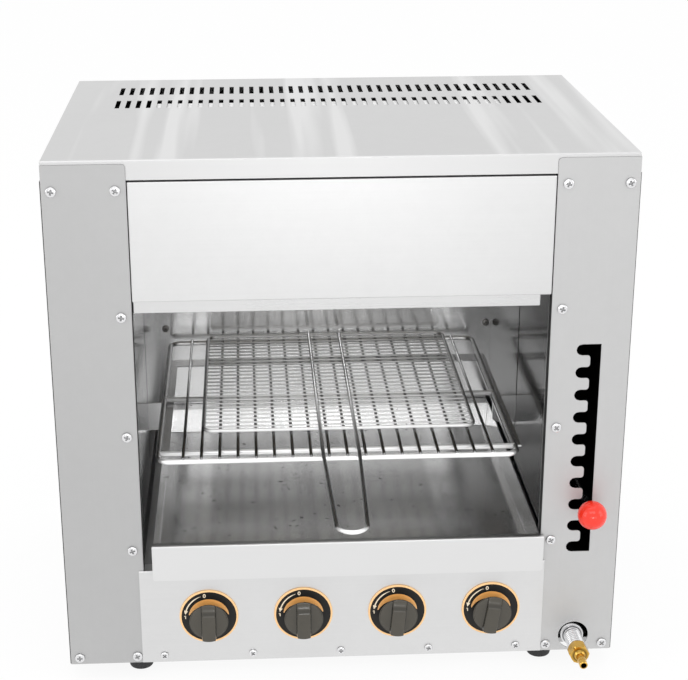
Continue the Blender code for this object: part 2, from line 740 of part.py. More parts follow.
def back_panel():
    block("back_panel", (-HALF_WIDTH, BODY_DEPTH - SHEET, 0),
          (HALF_WIDTH, BODY_DEPTH, TOP_SKIN_BOTTOM - SEAT), STEEL)


def base_pan():
    back = BODY_DEPTH - 2 * (SHEET + SEAT)
    folded("base_pan", (SEAT - HALF_WIDTH, PANEL_RETURN + BASE_FRONT_CLEARANCE, 0),
           (HALF_WIDTH - SEAT, back, BASE_FLANGE), ("bottom", "left", "right", "front", "back"), STEEL)


def fascia():
    side = HALF_OPENING - FASCIA_SIDE_GAP
    folded("fascia", (-side, SEAT, FASCIA_BOTTOM), (side, HOOD_FRONT_DEPTH - SEAT, FASCIA_TOP),
           ("front", "top", "bottom", "left", "right"), STEEL)


def dial_x(i):
    return DIAL_ROW_SHIFT + (i - (DIAL_COUNT - 1) / 2) * DIAL_PITCH


def control_panel():
    half = CONTROL_WIDTH / 2
    panel = folded("control_panel", (-half, CONTROL_FRONT, 0), (half, CONTROL_RETURN, CONTROL_HEIGHT),
                   ("front", "top", "bottom"), STEEL)
    for sign, side in SIDES:
        low, high = mirrored(sign, (HALF_OPENING - SEAT, -SEAT, -OVERRUN),
                             (half + OVERRUN, CONTROL_RETURN + OVERRUN, CONTROL_HEIGHT + OVERRUN))
        cut(panel, block(f"return_cutter_{side}", low, high))
    for i in range(DIAL_COUNT):
        cut(panel, rod(f"stem_hole_cutter_{i + 1}", STEM_HOLE_RADIUS, at(dial_x(i), OVERRUN, DIAL_HEIGHT),
                       2 * OVERRUN))


def foot(number, x, depth):
    profile = [(0, 0), (FOOT_TOP_RADIUS, 0), (FOOT_BOTTOM_RADIUS, FOOT_EDGE + SEAT - FOOT_HEIGHT),
               (FOOT_BOTTOM_RADIUS - FOOT_EDGE, SEAT - FOOT_HEIGHT), (0, SEAT - FOOT_HEIGHT)]
    turned(f"foot_{number}", profile, at(x, depth, -SEAT), RUBBER, "up", FOOT_STEPS)


def feet():
    number = 0
    for depth in (FOOT_INSET_Y, BODY_DEPTH - FOOT_INSET_Y):
        for sign in (-1, 1):
            number += 1
            foot(number, sign * (HALF_WIDTH - FOOT_INSET_X), depth)


# Cooking cavity


def side_liner(sign, side):
    outer = LINER_X + SHEET
    low, high = mirrored(sign, (outer - RUNNER_WIDTH, PANEL_RETURN + SEAT, RUNNER_TOP - SHEET),
                         (outer, LINER_BACK_DEPTH - SEAT, LINER_TOP))
    liner = folded(f"{side}_liner", low, high, (side, "bottom"), MIRROR_STEEL)
    low, high = mirrored(sign, (LINER_X - OVERRUN, SLOT_DEPTH - SLOT_WIDTH / 2, SLOT_BOTTOM),
                         (outer + OVERRUN, SLOT_DEPTH + SLOT_WIDTH / 2, SLOT_TOP))
    cut(liner, block(f"{side}_slot_cutter", low, high))


def back_liner():
    block("back_liner", (-LINER_X, LINER_BACK_DEPTH, BACK_LINER_BOTTOM),
          (LINER_X, LINER_BACK_DEPTH + SHEET, LINER_TOP), MIRROR_STEEL)


def burner_x(i):
    return HOOD_MIDDLE + (i - (DIAL_COUNT - 1) / 2) * BURNER_PITCH


def burner_hood():
    """A plate that lies on the linings' top edges and carries the burners, with a skirt round them."""
    hood = block("burner_hood", (-HOOD_PLATE_HALF_WIDTH, PANEL_RETURN + SEAT, HOOD_PLATE_BOTTOM),
                 (HOOD_PLATE_HALF_WIDTH, HOOD_PLATE_BACK, HOOD_PLATE_BOTTOM + SHEET), STEEL)
    skirt = folded("hood_skirt", (HOOD_LEFT, HOOD_FRONT_DEPTH, HOOD_BOTTOM),
                   (HOOD_RIGHT, HOOD_BACK_DEPTH, HOOD_PLATE_BOTTOM + HOOD_WALL_BITE),
                   ("left", "right", "front", "back"))
    lip_plate = block("hood_front_strip", (HOOD_LEFT, HOOD_FRONT_DEPTH, HOOD_PLATE_BOTTOM),
                      (HOOD_RIGHT, PANEL_RETURN + OVERRUN, HOOD_PLATE_BOTTOM + SHEET))
    join(hood, lip_plate, skirt)
    half = BURNER_WIDTH / 2 - BURNER_WALL
    for i in range(DIAL_COUNT):
        cut(hood, block(f"mouth_cutter_{i + 1}",
                        (burner_x(i) - half, BURNER_FRONT_DEPTH + BURNER_WALL, HOOD_PLATE_BOTTOM - OVERRUN),
                        (burner_x(i) + half, BURNER_FRONT_DEPTH + BURNER_LENGTH - BURNER_WALL,
                         HOOD_PLATE_BOTTOM + OVERRUN)))


def burner(i):
    """A pressed plenum, open below for its tile, with the mixing tube at the back."""
    back = BURNER_FRONT_DEPTH + BURNER_LENGTH
    half = BURNER_WIDTH / 2
    name = f"burner_{i + 1}"
    made = folded(name, (burner_x(i) - half, BURNER_FRONT_DEPTH, BURNER_BOTTOM),
                  (burner_x(i) + half, back, BURNER_BOTTOM + BURNER_HEIGHT),
                  ("top", "left", "right", "front", "back"), DARK_STEEL, BURNER_WALL, BURNER_BEND)
    height = BURNER_BOTTOM + MIXER_HEIGHT
    tube_start = at(burner_x(i), back + MIXER_LENGTH, height)
    reach = MIXER_LENGTH + BURNER_WALL / 2
    join(made, rod(f"{name}_mixer", MIXER_RADIUS, tube_start, reach, steps=MIXER_STEPS))
    bore_start = at(burner_x(i), back + MIXER_LENGTH + OVERRUN, height)
    cut(made, rod(f"{name}_bore", MIXER_BORE_RADIUS, bore_start, MIXER_LENGTH + 2 * OVERRUN, steps=MIXER_STEPS))


def ceramic_tile(i):
    """Two perforated plates side by side, with the joint between them."""
    margin = BURNER_WALL + TILE_CLEARANCE
    low = (burner_x(i) - BURNER_WIDTH / 2 + margin, BURNER_FRONT_DEPTH + margin, BURNER_BOTTOM - TILE_DROP)
    high = (burner_x(i) + BURNER_WIDTH / 2 - margin, BURNER_FRONT_DEPTH + BURNER_LENGTH - margin,
            BURNER_BOTTOM - TILE_DROP + TILE_THICKNESS)
    tile = block(f"ceramic_tile_{i + 1}", low, high, CERAMIC, BURNER_BEND - margin)
    middle = (low[1] + high[1]) / 2
    cut(tile, block(f"tile_groove_{i + 1}",
                    (low[0] - OVERRUN, middle - TILE_GROOVE_WIDTH / 2, low[2] - OVERRUN),
                    (high[0] + OVERRUN, middle + TILE_GROOVE_WIDTH / 2, low[2] + TILE_GROOVE_DEPTH)))


def heat_shield():
    folded("heat_shield", (-SHIELD_HALF_WIDTH, SHIELD_FRONT_DEPTH, BODY_HEIGHT - SHEET - SHIELD_DROP),
           (SHIELD_HALF_WIDTH, SHIELD_REAR_DEPTH, BODY_HEIGHT - SHEET - SEAT), ("bottom", "left", "right"), STEEL)


# Gas system


def valve(i):
    """A turned tap body with a blind bore for its stem and an outlet port on top."""
    front = at(dial_x(i), 0, DIAL_HEIGHT)
    bore = STEM_RADIUS + STEM_GAP
    bore_end = -(STEM_IN_VALVE + KNOB_TRAVEL + KNOB_TRAVEL_CLEARANCE)
    shoulder = -VALVE_COLLAR_LENGTH
    waist = shoulder - VALVE_BODY_LENGTH
    profile = [(0, bore_end), (bore, bore_end), (bore, 0), (VALVE_COLLAR_RADIUS, 0),
               (VALVE_COLLAR_RADIUS, shoulder), (VALVE_BODY_RADIUS, shoulder), (VALVE_BODY_RADIUS, waist),
               (VALVE_NECK_RADIUS, waist), (VALVE_NECK_RADIUS, waist - VALVE_NECK_LENGTH),
               (0, waist - VALVE_NECK_LENGTH)]
    made = turned(f"valve_{i + 1}", profile, front, BRASS)
    port = at(dial_x(i), VALVE_PORT_DEPTH, DIAL_HEIGHT)
    join(made, rod(f"valve_port_{i + 1}", VALVE_PORT_RADIUS, port, VALVE_PORT_RISE, towards="up"))


def valve_stem(i):
    reach = STEM_IN_VALVE - KNOB_BACK + STEM_IN_KNOB - SEAT
    rod(f"valve_stem_{i + 1}", STEM_RADIUS, at(dial_x(i), STEM_IN_VALVE, DIAL_HEIGHT), reach, ZINC,
        edge=STEM_EDGE)


def gas_manifold():
    """The pipe behind the valves, which drops to the inlet at its right end."""
    left = dial_x(0) - PIPE_END_OVERHANG
    corners = [(left, MANIFOLD_DEPTH, DIAL_HEIGHT), (INLET_X, MANIFOLD_DEPTH, DIAL_HEIGHT),
               (INLET_X, MANIFOLD_DEPTH, INLET_HEIGHT), (INLET_X, PIPE_FRONT_DEPTH, INLET_HEIGHT)]
    smooth(wires("gas_manifold", [(rounded_route(corners, PIPE_BEND, BEND_STEPS), False)],
                 PIPE_RADIUS, PIPE_SIDES, ZINC))


def inlet_coupling():
    collar_end = COUPLING_FLANGE_LENGTH + COUPLING_COLLAR_LENGTH
    profile = [(0, collar_end), (COUPLING_COLLAR_RADIUS - COUPLING_EDGE, collar_end),
               (COUPLING_COLLAR_RADIUS, collar_end - COUPLING_EDGE), (COUPLING_COLLAR_RADIUS, COUPLING_FLANGE_LENGTH),
               (COUPLING_FLANGE_RADIUS - COUPLING_EDGE, COUPLING_FLANGE_LENGTH),
               (COUPLING_FLANGE_RADIUS, COUPLING_FLANGE_LENGTH - COUPLING_EDGE), (COUPLING_FLANGE_RADIUS, 0),
               (COUPLING_THREAD_RADIUS, 0), (COUPLING_THREAD_RADIUS, -COUPLING_THREAD_LENGTH),
               (0, -COUPLING_THREAD_LENGTH)]
    start = at(INLET_X, PIPE_FRONT_DEPTH - SEAT - COUPLING_THREAD_LENGTH, INLET_HEIGHT)
    turned("inlet_coupling", profile, start, ZINC, steps=NIPPLE_STEPS)
    return PIPE_FRONT_DEPTH - SEAT - COUPLING_THREAD_LENGTH - collar_end


def hose_nipple(depth):
    """A brass hexagon with a barbed tail for the gas hose, bored from its tip."""
    reach = NIPPLE_HEX_LENGTH + NIPPLE_TAPER_LENGTH
    tail = [(NIPPLE_TAPER_RADIUS, NIPPLE_HEX_LENGTH), (NIPPLE_TAIL_RADIUS, reach)]
    for _ in range(NIPPLE_BARB_COUNT):
        tail += [(NIPPLE_TAIL_RADIUS + NIPPLE_BARB_RISE, reach),
                 (NIPPLE_TAIL_RADIUS, reach + NIPPLE_BARB_LENGTH)]
        reach += NIPPLE_BARB_LENGTH
    tail.append((NIPPLE_TIP_RADIUS, reach + NIPPLE_TIP_LENGTH))
    reach += NIPPLE_TIP_LENGTH
    bore_end = NIPPLE_HEX_LENGTH
    start = at(INLET_X, depth - SEAT, INLET_HEIGHT)
    profile = [(0, bore_end), (NIPPLE_BORE_RADIUS, bore_end), (NIPPLE_BORE_RADIUS, reach)]
    profile += list(reversed(tail)) + [(NIPPLE_TAPER_RADIUS, NIPPLE_HEX_LENGTH / 2), (0, NIPPLE_HEX_LENGTH / 2)]
    nipple = turned("hose_nipple", profile, start, BRASS, steps=NIPPLE_STEPS)
    hexagon = rod("nipple_hexagon", NIPPLE_HEX_RADIUS, start, NIPPLE_HEX_LENGTH, steps=HEX_SIDES,
                  edge=COUPLING_EDGE)
    join(nipple, hexagon)


def gas_tube(i):
    """From the valve's port back under the tray, up behind the back lining and into the mixing tube."""
    mixer = BURNER_BOTTOM + MIXER_HEIGHT
    end = BURNER_FRONT_DEPTH + BURNER_LENGTH + MIXER_LENGTH - TUBE_IN_MIXER
    corners = [(dial_x(i), VALVE_PORT_DEPTH, DIAL_HEIGHT + VALVE_PORT_RISE + SEAT),
               (dial_x(i), VALVE_PORT_DEPTH, TUBE_RUN_HEIGHT),
               (burner_x(i), TUBE_REAR_DEPTH, TUBE_RUN_HEIGHT),
               (burner_x(i), TUBE_REAR_DEPTH, mixer), (burner_x(i), end, mixer)]
    smooth(wires(f"gas_tube_{i + 1}", [(rounded_route(corners, TUBE_BEND, BEND_STEPS), False)],
                 TUBE_RADIUS, TUBE_SIDES, ALUMINIUM), 60)


# Dials and knobs


def dial_plate(i):
    """A thin disc with a raised rim and a hole for the stem."""
    rise = DIAL_THICKNESS + DIAL_RIM_RISE
    profile = [(STEM_HOLE_RADIUS, DIAL_THICKNESS), (DIAL_RADIUS - DIAL_RIM, DIAL_THICKNESS),
               (DIAL_RADIUS - DIAL_RIM, rise), (DIAL_RADIUS, rise), (DIAL_RADIUS, 0), (STEM_HOLE_RADIUS, 0)]
    turned(f"dial_plate_{i + 1}", profile, at(dial_x(i), DIAL_BACK, DIAL_HEIGHT), BLACK_PLATE,
           steps=DIAL_STEPS, closed=True)


def knob(i):
    """A round knob with a grip bar whose upper end slopes back to the knob's face."""
    place = at(dial_x(i), KNOB_BACK, DIAL_HEIGHT)
    profile = [(0, KNOB_BASE_HEIGHT), (KNOB_FACE_RADIUS, KNOB_BASE_HEIGHT), (KNOB_RADIUS, KNOB_SKIRT_HEIGHT),
               (KNOB_RADIUS, 0), (0, 0)]
    name = f"knob_{i + 1}"
    made = turned(name, profile, place, KNOB_PLASTIC, steps=KNOB_STEPS)
    end = KNOB_RADIUS + GRIP_OVERHANG
    side = [(end, 0), (end, KNOB_BASE_HEIGHT / 2), (GRIP_SLOPE_START, KNOB_BASE_HEIGHT),
            (GRIP_SLOPE_MIDDLE, KNOB_BASE_HEIGHT + GRIP_SLOPE_RISE), (GRIP_SLOPE_END, KNOB_HEIGHT),
            (0, KNOB_HEIGHT - GRIP_DIP), (-GRIP_SLOPE_END, KNOB_HEIGHT - GRIP_DIP),
            (-end, KNOB_HEIGHT), (-end, 0)]
    grip = grip_bar(f"{name}_grip", side, place)
    join(made, grip)
    cut(made, rod(f"{name}_bore", STEM_RADIUS + STEM_GAP, at(dial_x(i), KNOB_BACK + OVERRUN, DIAL_HEIGHT),
                  STEM_IN_KNOB + OVERRUN))
    made.rotation_euler.y = math.radians(-KNOB_TURNS_DEG[i])
    grip.rotation_euler.y = math.radians(-KNOB_TURNS_DEG[i])


def grip_bar(name, side, place):
    """The side view of a grip, (height on the dial, reach) points, given its width across the knob."""
    mesh = bpy.data.meshes.new(name)
    shape = bmesh.new()
    ring = [shape.verts.new((-GRIP_WIDTH / 2, up, reach + SEAT)) for up, reach in side]
    face = shape.faces.new(ring)
    moved = bmesh.ops.extrude_face_region(shape, geom=[face])["geom"]
    across = [item for item in moved if isinstance(item, bmesh.types.BMVert)]
    bmesh.ops.translate(shape, verts=across, vec=(GRIP_WIDTH, 0, 0))
    bmesh.ops.recalc_face_normals(shape, faces=shape.faces)
    shape.to_mesh(mesh)
    shape.free()
    obj = add_object(name, mesh, None, place)
    obj.rotation_euler.x = math.pi / 2
    add_bevel(obj, GRIP_EDGE, BEND_SEGMENTS)
    return obj


# Drip tray


def drip_tray():
    """A tapered pan whose front edge is folded out and down into its face, and its rear edge out level."""
    tray = folded("drip_tray", (TRAY_LEFT, 0, TRAY_BOTTOM), (TRAY_RIGHT, TRAY_BACK_DEPTH, TRAY_RIM),
                  ("bottom", "left", "right", "front", "back"), MIRROR_STEEL, draft=TRAY_DRAFT)
    face = folded("tray_face", (TRAY_FACE_LEFT, -TRAY_FACE_PROUD, TRAY_FACE_TOP - TRAY_FACE_HEIGHT),
                  (TRAY_FACE_RIGHT, TRAY_HEM_BITE, TRAY_FACE_TOP), ("front", "top"))
    bottom = TRAY_FACE_TOP - TRAY_FACE_HEIGHT
    for sign, x, side in ((1, TRAY_FACE_LEFT, "left"), (-1, TRAY_FACE_RIGHT, "right")):
        cut(face, corner_cutter(f"tray_corner_{side}", x, bottom, sign, False, TRAY_FACE_CORNER,
                                -TRAY_FACE_PROUD, -TRAY_FACE_PROUD + SHEET))
    cut(face, block("hem_cutter", (HALF_OPENING - SEAT, -SEAT, TRAY_FACE_TOP - OVERRUN),
                    (TRAY_FACE_RIGHT + OVERRUN, OVERRUN, TRAY_FACE_TOP + OVERRUN)))
    flange = block("tray_flange", (TRAY_LEFT + BEND, TRAY_BACK_DEPTH - TRAY_HEM_BITE, TRAY_FACE_TOP - SHEET),
                   (TRAY_RIGHT - BEND, TRAY_FLANGE_BACK, TRAY_FACE_TOP))
    join(tray, face, flange)


# Rack and hand net


def rack():
    """A rod frame with two cross rods, and the bearing wires that lie along it."""
    back = RACK_FRONT_DEPTH + RACK_LENGTH
    frame = wires("rack", [(rounded_frame(RACK_SHIFT, RACK_HALF_WIDTH, RACK_FRONT_DEPTH, back,
                                          RACK_ROD_HEIGHT, RACK_CORNER, RACK_CORNER_STEPS), True)],
                  RACK_ROD_RADIUS, ROD_SIDES, WIRE_STEEL)
    left, right = RACK_SHIFT - RACK_HALF_WIDTH, RACK_SHIFT + RACK_HALF_WIDTH
    cross = [([(left, depth, RACK_ROD_HEIGHT), (right, depth, RACK_ROD_HEIGHT)], False)
             for depth in (RACK_SECOND_DEPTH, RACK_MIDDLE_DEPTH)]
    first = RACK_SHIFT - RACK_WIRE_PITCH * (RACK_WIRE_COUNT - 1) / 2
    along = [([(first + i * RACK_WIRE_PITCH, RACK_FRONT_DEPTH - RACK_WIRE_RADIUS / 2, RACK_WIRE_HEIGHT),
               (first + i * RACK_WIRE_PITCH, back + RACK_WIRE_RADIUS / 2, RACK_WIRE_HEIGHT)], False)
             for i in range(RACK_WIRE_COUNT)]
    join(frame, wires("rack_cross_rods", cross, RACK_ROD_RADIUS, ROD_SIDES),
         wires("rack_wires", along, RACK_WIRE_RADIUS, WIRE_SIDES))


def handle_route():
    """Out along one handle wire, drawn in past the bend, round the end and back along the other."""
    back = NET_FRONT_DEPTH + NET_LENGTH
    turn_depth = -HANDLE_REACH + NET_ROD_RADIUS + HANDLE_END_HALF_WIDTH
    right = HANDLE_SHIFT + HANDLE_HALF_WIDTH
    left = HANDLE_SHIFT - HANDLE_HALF_WIDTH
    turn = [(x, depth, HANDLE_HEIGHT) for x, depth in
            arc(HANDLE_SHIFT, turn_depth, HANDLE_END_HALF_WIDTH, 0, -180, HANDLE_TURN_STEPS)]
    return [(right, back, HANDLE_HEIGHT), (right, HANDLE_BEND_DEPTH, HANDLE_HEIGHT)] + turn + [
        (left, HANDLE_BEND_DEPTH, HANDLE_HEIGHT), (left, back, HANDLE_HEIGHT)]


def hand_net():
    """A wire net with its two long handle wires lying over it."""
    back = NET_FRONT_DEPTH + NET_LENGTH
    frame = wires("hand_net", [(rounded_frame(NET_SHIFT, NET_HALF_WIDTH, NET_FRONT_DEPTH, back, NET_HEIGHT,
                                              NET_CORNER, RACK_CORNER_STEPS), True)],
                  NET_ROD_RADIUS, WIRE_SIDES, WIRE_STEEL)
    pitch = NET_LENGTH / (NET_WIRE_COUNT + 1)
    across = [([(NET_SHIFT - NET_HALF_WIDTH, NET_FRONT_DEPTH + i * pitch, NET_HEIGHT),
                (NET_SHIFT + NET_HALF_WIDTH, NET_FRONT_DEPTH + i * pitch, NET_HEIGHT)], False)
              for i in range(1, NET_WIRE_COUNT + 1)]
    join(frame, wires("net_wires", across, NET_WIRE_RADIUS, WIRE_SIDES),
         wires("net_handle", [(handle_route(), False)], NET_ROD_RADIUS, WIRE_SIDES))


# Lift


def lift_frame():
    """Two flat arms under the rack's side rods, joined by a strip across their rear ends."""
    outer = ARM_INNER + ARM_WIDTH
    frame = block("lift_frame", (-outer, ARM_REAR_DEPTH - CROSS_STRIP_WIDTH, ARM_TOP - ARM_THICKNESS),
                  (outer, ARM_REAR_DEPTH, ARM_TOP), STEEL)
    for sign, side in SIDES:
        low, high = mirrored(sign, (ARM_INNER, ARM_FRONT_DEPTH, ARM_TOP - ARM_THICKNESS),
                             (outer, ARM_REAR_DEPTH - CROSS_STRIP_WIDTH / 2, ARM_TOP))
        join(frame, block(f"lift_arm_{side}", low, high))


def bracket_outline(sign, end_x):
    """The lift bracket seen from the front: under the arm, through the slot and out to end_x."""
    under_arm = ARM_TOP - ARM_THICKNESS - SEAT
    past_arm = ARM_INNER + ARM_WIDTH + SEAT
    points = [(BRACKET_INNER, BRACKET_BOTTOM + BRACKET_CHAMFER), (BRACKET_INNER + BRACKET_CHAMFER, BRACKET_BOTTOM),
              (end_x, BRACKET_BOTTOM), (end_x, ARM_TOP), (past_arm, ARM_TOP), (past_arm, under_arm),
              (BRACKET_INNER, under_arm)]
    return [(sign * x, height) for x, height in points]


def lift_bracket(sign, side):
    """A plate through the lining's slot with a bush that slides on the guide rod."""
    near, far = SLOT_DEPTH - BRACKET_THICKNESS / 2, SLOT_DEPTH + BRACKET_THICKNESS / 2
    end_x = LEVER_X if sign > 0 else GUIDE_X
    bracket = plate(f"{side}_lift_bracket", bracket_outline(sign, end_x), near, far, STEEL)
    join(bracket, rod(f"{side}_bush", BUSH_RADIUS, at(sign * GUIDE_X, SLOT_DEPTH, BRACKET_BOTTOM - SEAT),
                      ARM_TOP - BRACKET_BOTTOM + 2 * SEAT, towards="up", steps=BUSH_STEPS))
    if sign > 0:
        add_clevis(bracket)
    cut(bracket, rod(f"{side}_bush_bore", GUIDE_RADIUS + GUIDE_GAP,
                     at(sign * GUIDE_X, SLOT_DEPTH, BRACKET_BOTTOM - OVERRUN),
                     ARM_TOP - BRACKET_BOTTOM + 2 * OVERRUN, towards="up", steps=BUSH_STEPS))


def add_clevis(bracket):
    """Two lugs on a back plate below the bracket's end, with the lever's pivot pin between them."""
    inside = LEVER_RADIUS + LUG_GAP
    top, bottom = LEVER_HEIGHT + inside + LUG_THICKNESS, LEVER_HEIGHT - inside - LUG_THICKNESS
    left, right = LEVER_X - LUG_HALF_WIDTH, LEVER_X + LUG_HALF_WIDTH
    back = SLOT_DEPTH + LUG_BACK
    wall = block("clevis_wall", (left, back - CLEVIS_WALL, bottom), (right, back, top))
    stem = block("clevis_stem", (LEVER_X - BRACKET_THICKNESS, SLOT_DEPTH - BRACKET_THICKNESS / 2, top - SEAT),
                 (right, SLOT_DEPTH + BRACKET_THICKNESS / 2, ARM_TOP))
    lugs = [block(f"clevis_lug_{i + 1}", (left, SLOT_DEPTH - EYE_RADIUS, low),
                  (right, back - CLEVIS_WALL / 2, low + LUG_THICKNESS))
            for i, low in enumerate((bottom, top - LUG_THICKNESS))]
    pin = rod("clevis_pin", PIN_RADIUS, at(LEVER_X, SLOT_DEPTH, bottom + LUG_THICKNESS / 2),
              top - bottom - LUG_THICKNESS, towards="up")
    join(bracket, wall, stem, *lugs, pin)


def lift_guide(sign, side):
    """A vertical rod that stands on the base pan and is stayed to the lining at its top."""
    foot_height = SHEET + SEAT
    guide = rod(f"{side}_lift_guide", GUIDE_RADIUS, at(sign * GUIDE_X, SLOT_DEPTH, foot_height),
                GUIDE_TOP - foot_height, ZINC, "up")
    flange = rod(f"{side}_guide_foot", GUIDE_FOOT_RADIUS, at(sign * GUIDE_X, SLOT_DEPTH, foot_height),
                 GUIDE_FOOT_THICKNESS, towards="up", steps=BUSH_STEPS)
    low, high = mirrored(sign, (LINER_X + SHEET + SEAT, SLOT_DEPTH - GUIDE_ARM_WIDTH / 2, GUIDE_TOP - GUIDE_ARM_HEIGHT),
                         (GUIDE_X + GUIDE_RADIUS + SEAT, SLOT_DEPTH + GUIDE_ARM_WIDTH / 2, GUIDE_TOP + SEAT))
    join(guide, flange, block(f"{side}_guide_stay", low, high))


def lift_lever():
    """A rod with a flattened eye at its pivot, seen from above lying along the depth."""
    pivot = at(LEVER_X, SLOT_DEPTH, LEVER_HEIGHT)
    lever = rod("lift_lever", LEVER_RADIUS, pivot, SLOT_DEPTH + LEVER_TIP_PROUD, ZINC, steps=LEVER_STEPS,
                edge=STEM_EDGE)
    eye = rod("lever_eye", EYE_RADIUS, at(LEVER_X, SLOT_DEPTH, LEVER_HEIGHT - LEVER_RADIUS), 2 * LEVER_RADIUS,
              towards="up")
    join(lever, eye)
    cut(lever, rod("lever_eye_bore", EYE_BORE_RADIUS,
                   at(LEVER_X, SLOT_DEPTH, LEVER_HEIGHT - LEVER_RADIUS - OVERRUN),
                   2 * (LEVER_RADIUS + OVERRUN), towards="up"))


def ball_knob():
    mesh = bpy.data.meshes.new("ball_knob")
    shape = bmesh.new()
    bmesh.ops.create_uvsphere(shape, u_segments=BALL_SEGMENTS, v_segments=BALL_RINGS, radius=BALL_RADIUS)
    shape.to_mesh(mesh)
    shape.free()
    ball = add_object("ball_knob", mesh, RED_PLASTIC, at(LEVER_X, -BALL_PROUD, LEVER_HEIGHT))
    back = -BALL_PROUD + BALL_RADIUS
    bore = rod("ball_bore", LEVER_RADIUS + STEM_GAP, at(LEVER_X, back + OVERRUN, LEVER_HEIGHT),
               BALL_BORE_DEPTH + OVERRUN)
    cut(ball, bore)
    smooth(ball)


def build():
    top_cover()
    front_panel(-1, "left")
    right_front_panel()
    back_panel()
    base_pan()
    fascia()
    control_panel()
    feet()
    back_liner()
    burner_hood()
    heat_shield()
    gas_manifold()
    coupling_front = inlet_coupling()
    hose_nipple(coupling_front)
    for sign, side in SIDES:
        side_panel(sign, side)
        side_liner(sign, side)
        lift_bracket(sign, side)
        lift_guide(sign, side)
    for i in range(DIAL_COUNT):
        burner(i)
        ceramic_tile(i)
        valve(i)
        valve_stem(i)
        gas_tube(i)
        dial_plate(i)
        knob(i)
    drip_tray()
    rack()
    hand_net()
    lift_frame()
    lift_lever()
    ball_knob()


build()
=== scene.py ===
"""Finishes a countertop gas salamander grill around its fixed solids.

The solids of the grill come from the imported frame. Each operator below finishes one group of
pieces: it gives the solids that stay their materials, and replaces the others by surfaces
worked out with numpy. Metres, +Z up, -Y towards the user.
"""

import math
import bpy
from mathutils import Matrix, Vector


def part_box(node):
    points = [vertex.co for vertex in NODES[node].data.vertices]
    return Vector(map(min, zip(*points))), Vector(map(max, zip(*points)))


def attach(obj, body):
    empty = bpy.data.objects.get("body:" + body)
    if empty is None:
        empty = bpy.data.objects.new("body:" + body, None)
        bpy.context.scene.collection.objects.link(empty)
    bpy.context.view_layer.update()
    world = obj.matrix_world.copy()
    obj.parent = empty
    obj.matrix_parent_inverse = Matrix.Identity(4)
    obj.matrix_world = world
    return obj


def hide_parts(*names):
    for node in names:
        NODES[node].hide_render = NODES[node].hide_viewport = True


bl_info = {
    "name": "Salamander grill",
    "version": (1, 0, 0),
    "blender": (4, 5, 0),
    "location": "View3D > Sidebar > Grill",
    "description": "Finishes a countertop gas salamander grill around its fixed solids",
    "category": "Object",
}

from functools import partialmethod

import bmesh
import bpy
import numpy as np
from bpy.props import FloatProperty, FloatVectorProperty, IntProperty, PointerProperty
from mathutils import Vector

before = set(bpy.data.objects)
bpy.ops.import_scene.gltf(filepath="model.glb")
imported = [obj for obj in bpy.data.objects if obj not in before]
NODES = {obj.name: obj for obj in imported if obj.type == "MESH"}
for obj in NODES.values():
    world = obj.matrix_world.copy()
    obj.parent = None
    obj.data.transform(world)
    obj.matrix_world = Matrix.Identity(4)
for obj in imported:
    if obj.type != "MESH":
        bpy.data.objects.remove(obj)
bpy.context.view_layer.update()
TURN = 2 * math.pi
# Burners, taps, dials, knobs and feet are four each
NUMBERS = (1, 2, 3, 4)
# How far each knob stands from upright, anticlockwise as the user sees it
KNOB_TURNS_DEG = {1: 0, 2: 0, 3: -5, 4: -9}
# Points of a piece that are nearer than this become one
MERGE = 0.000002


def centre(node):
    """The middle of a node's box."""
    low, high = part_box(node)
    return np.array((low + high) / 2)


def swatch(description, *default):
    """A colour. One number alone is a grey."""
    return FloatVectorProperty(description=description, default=default * (3 // len(default)), size=3,
                               subtype="COLOR", min=0, max=1)


def length(description, default):
    """A length in metres."""
    return FloatProperty(description=description, default=default, min=0, precision=5,
                         subtype="DISTANCE", unit="LENGTH")


def number(description, default, **settings):
    """A plain number."""
    return FloatProperty(description=description, default=default, **settings)


def count(description, default, least=1):
    """A whole number."""
    return IntProperty(description=description, default=default, min=least)


def titled(group):
    """Names each property of a class after its attribute: rod_radius becomes Rod radius."""
    for attribute, row in group.__annotations__.items():
        row.keywords["name"] = attribute.replace("_", " ").capitalize()
    return group


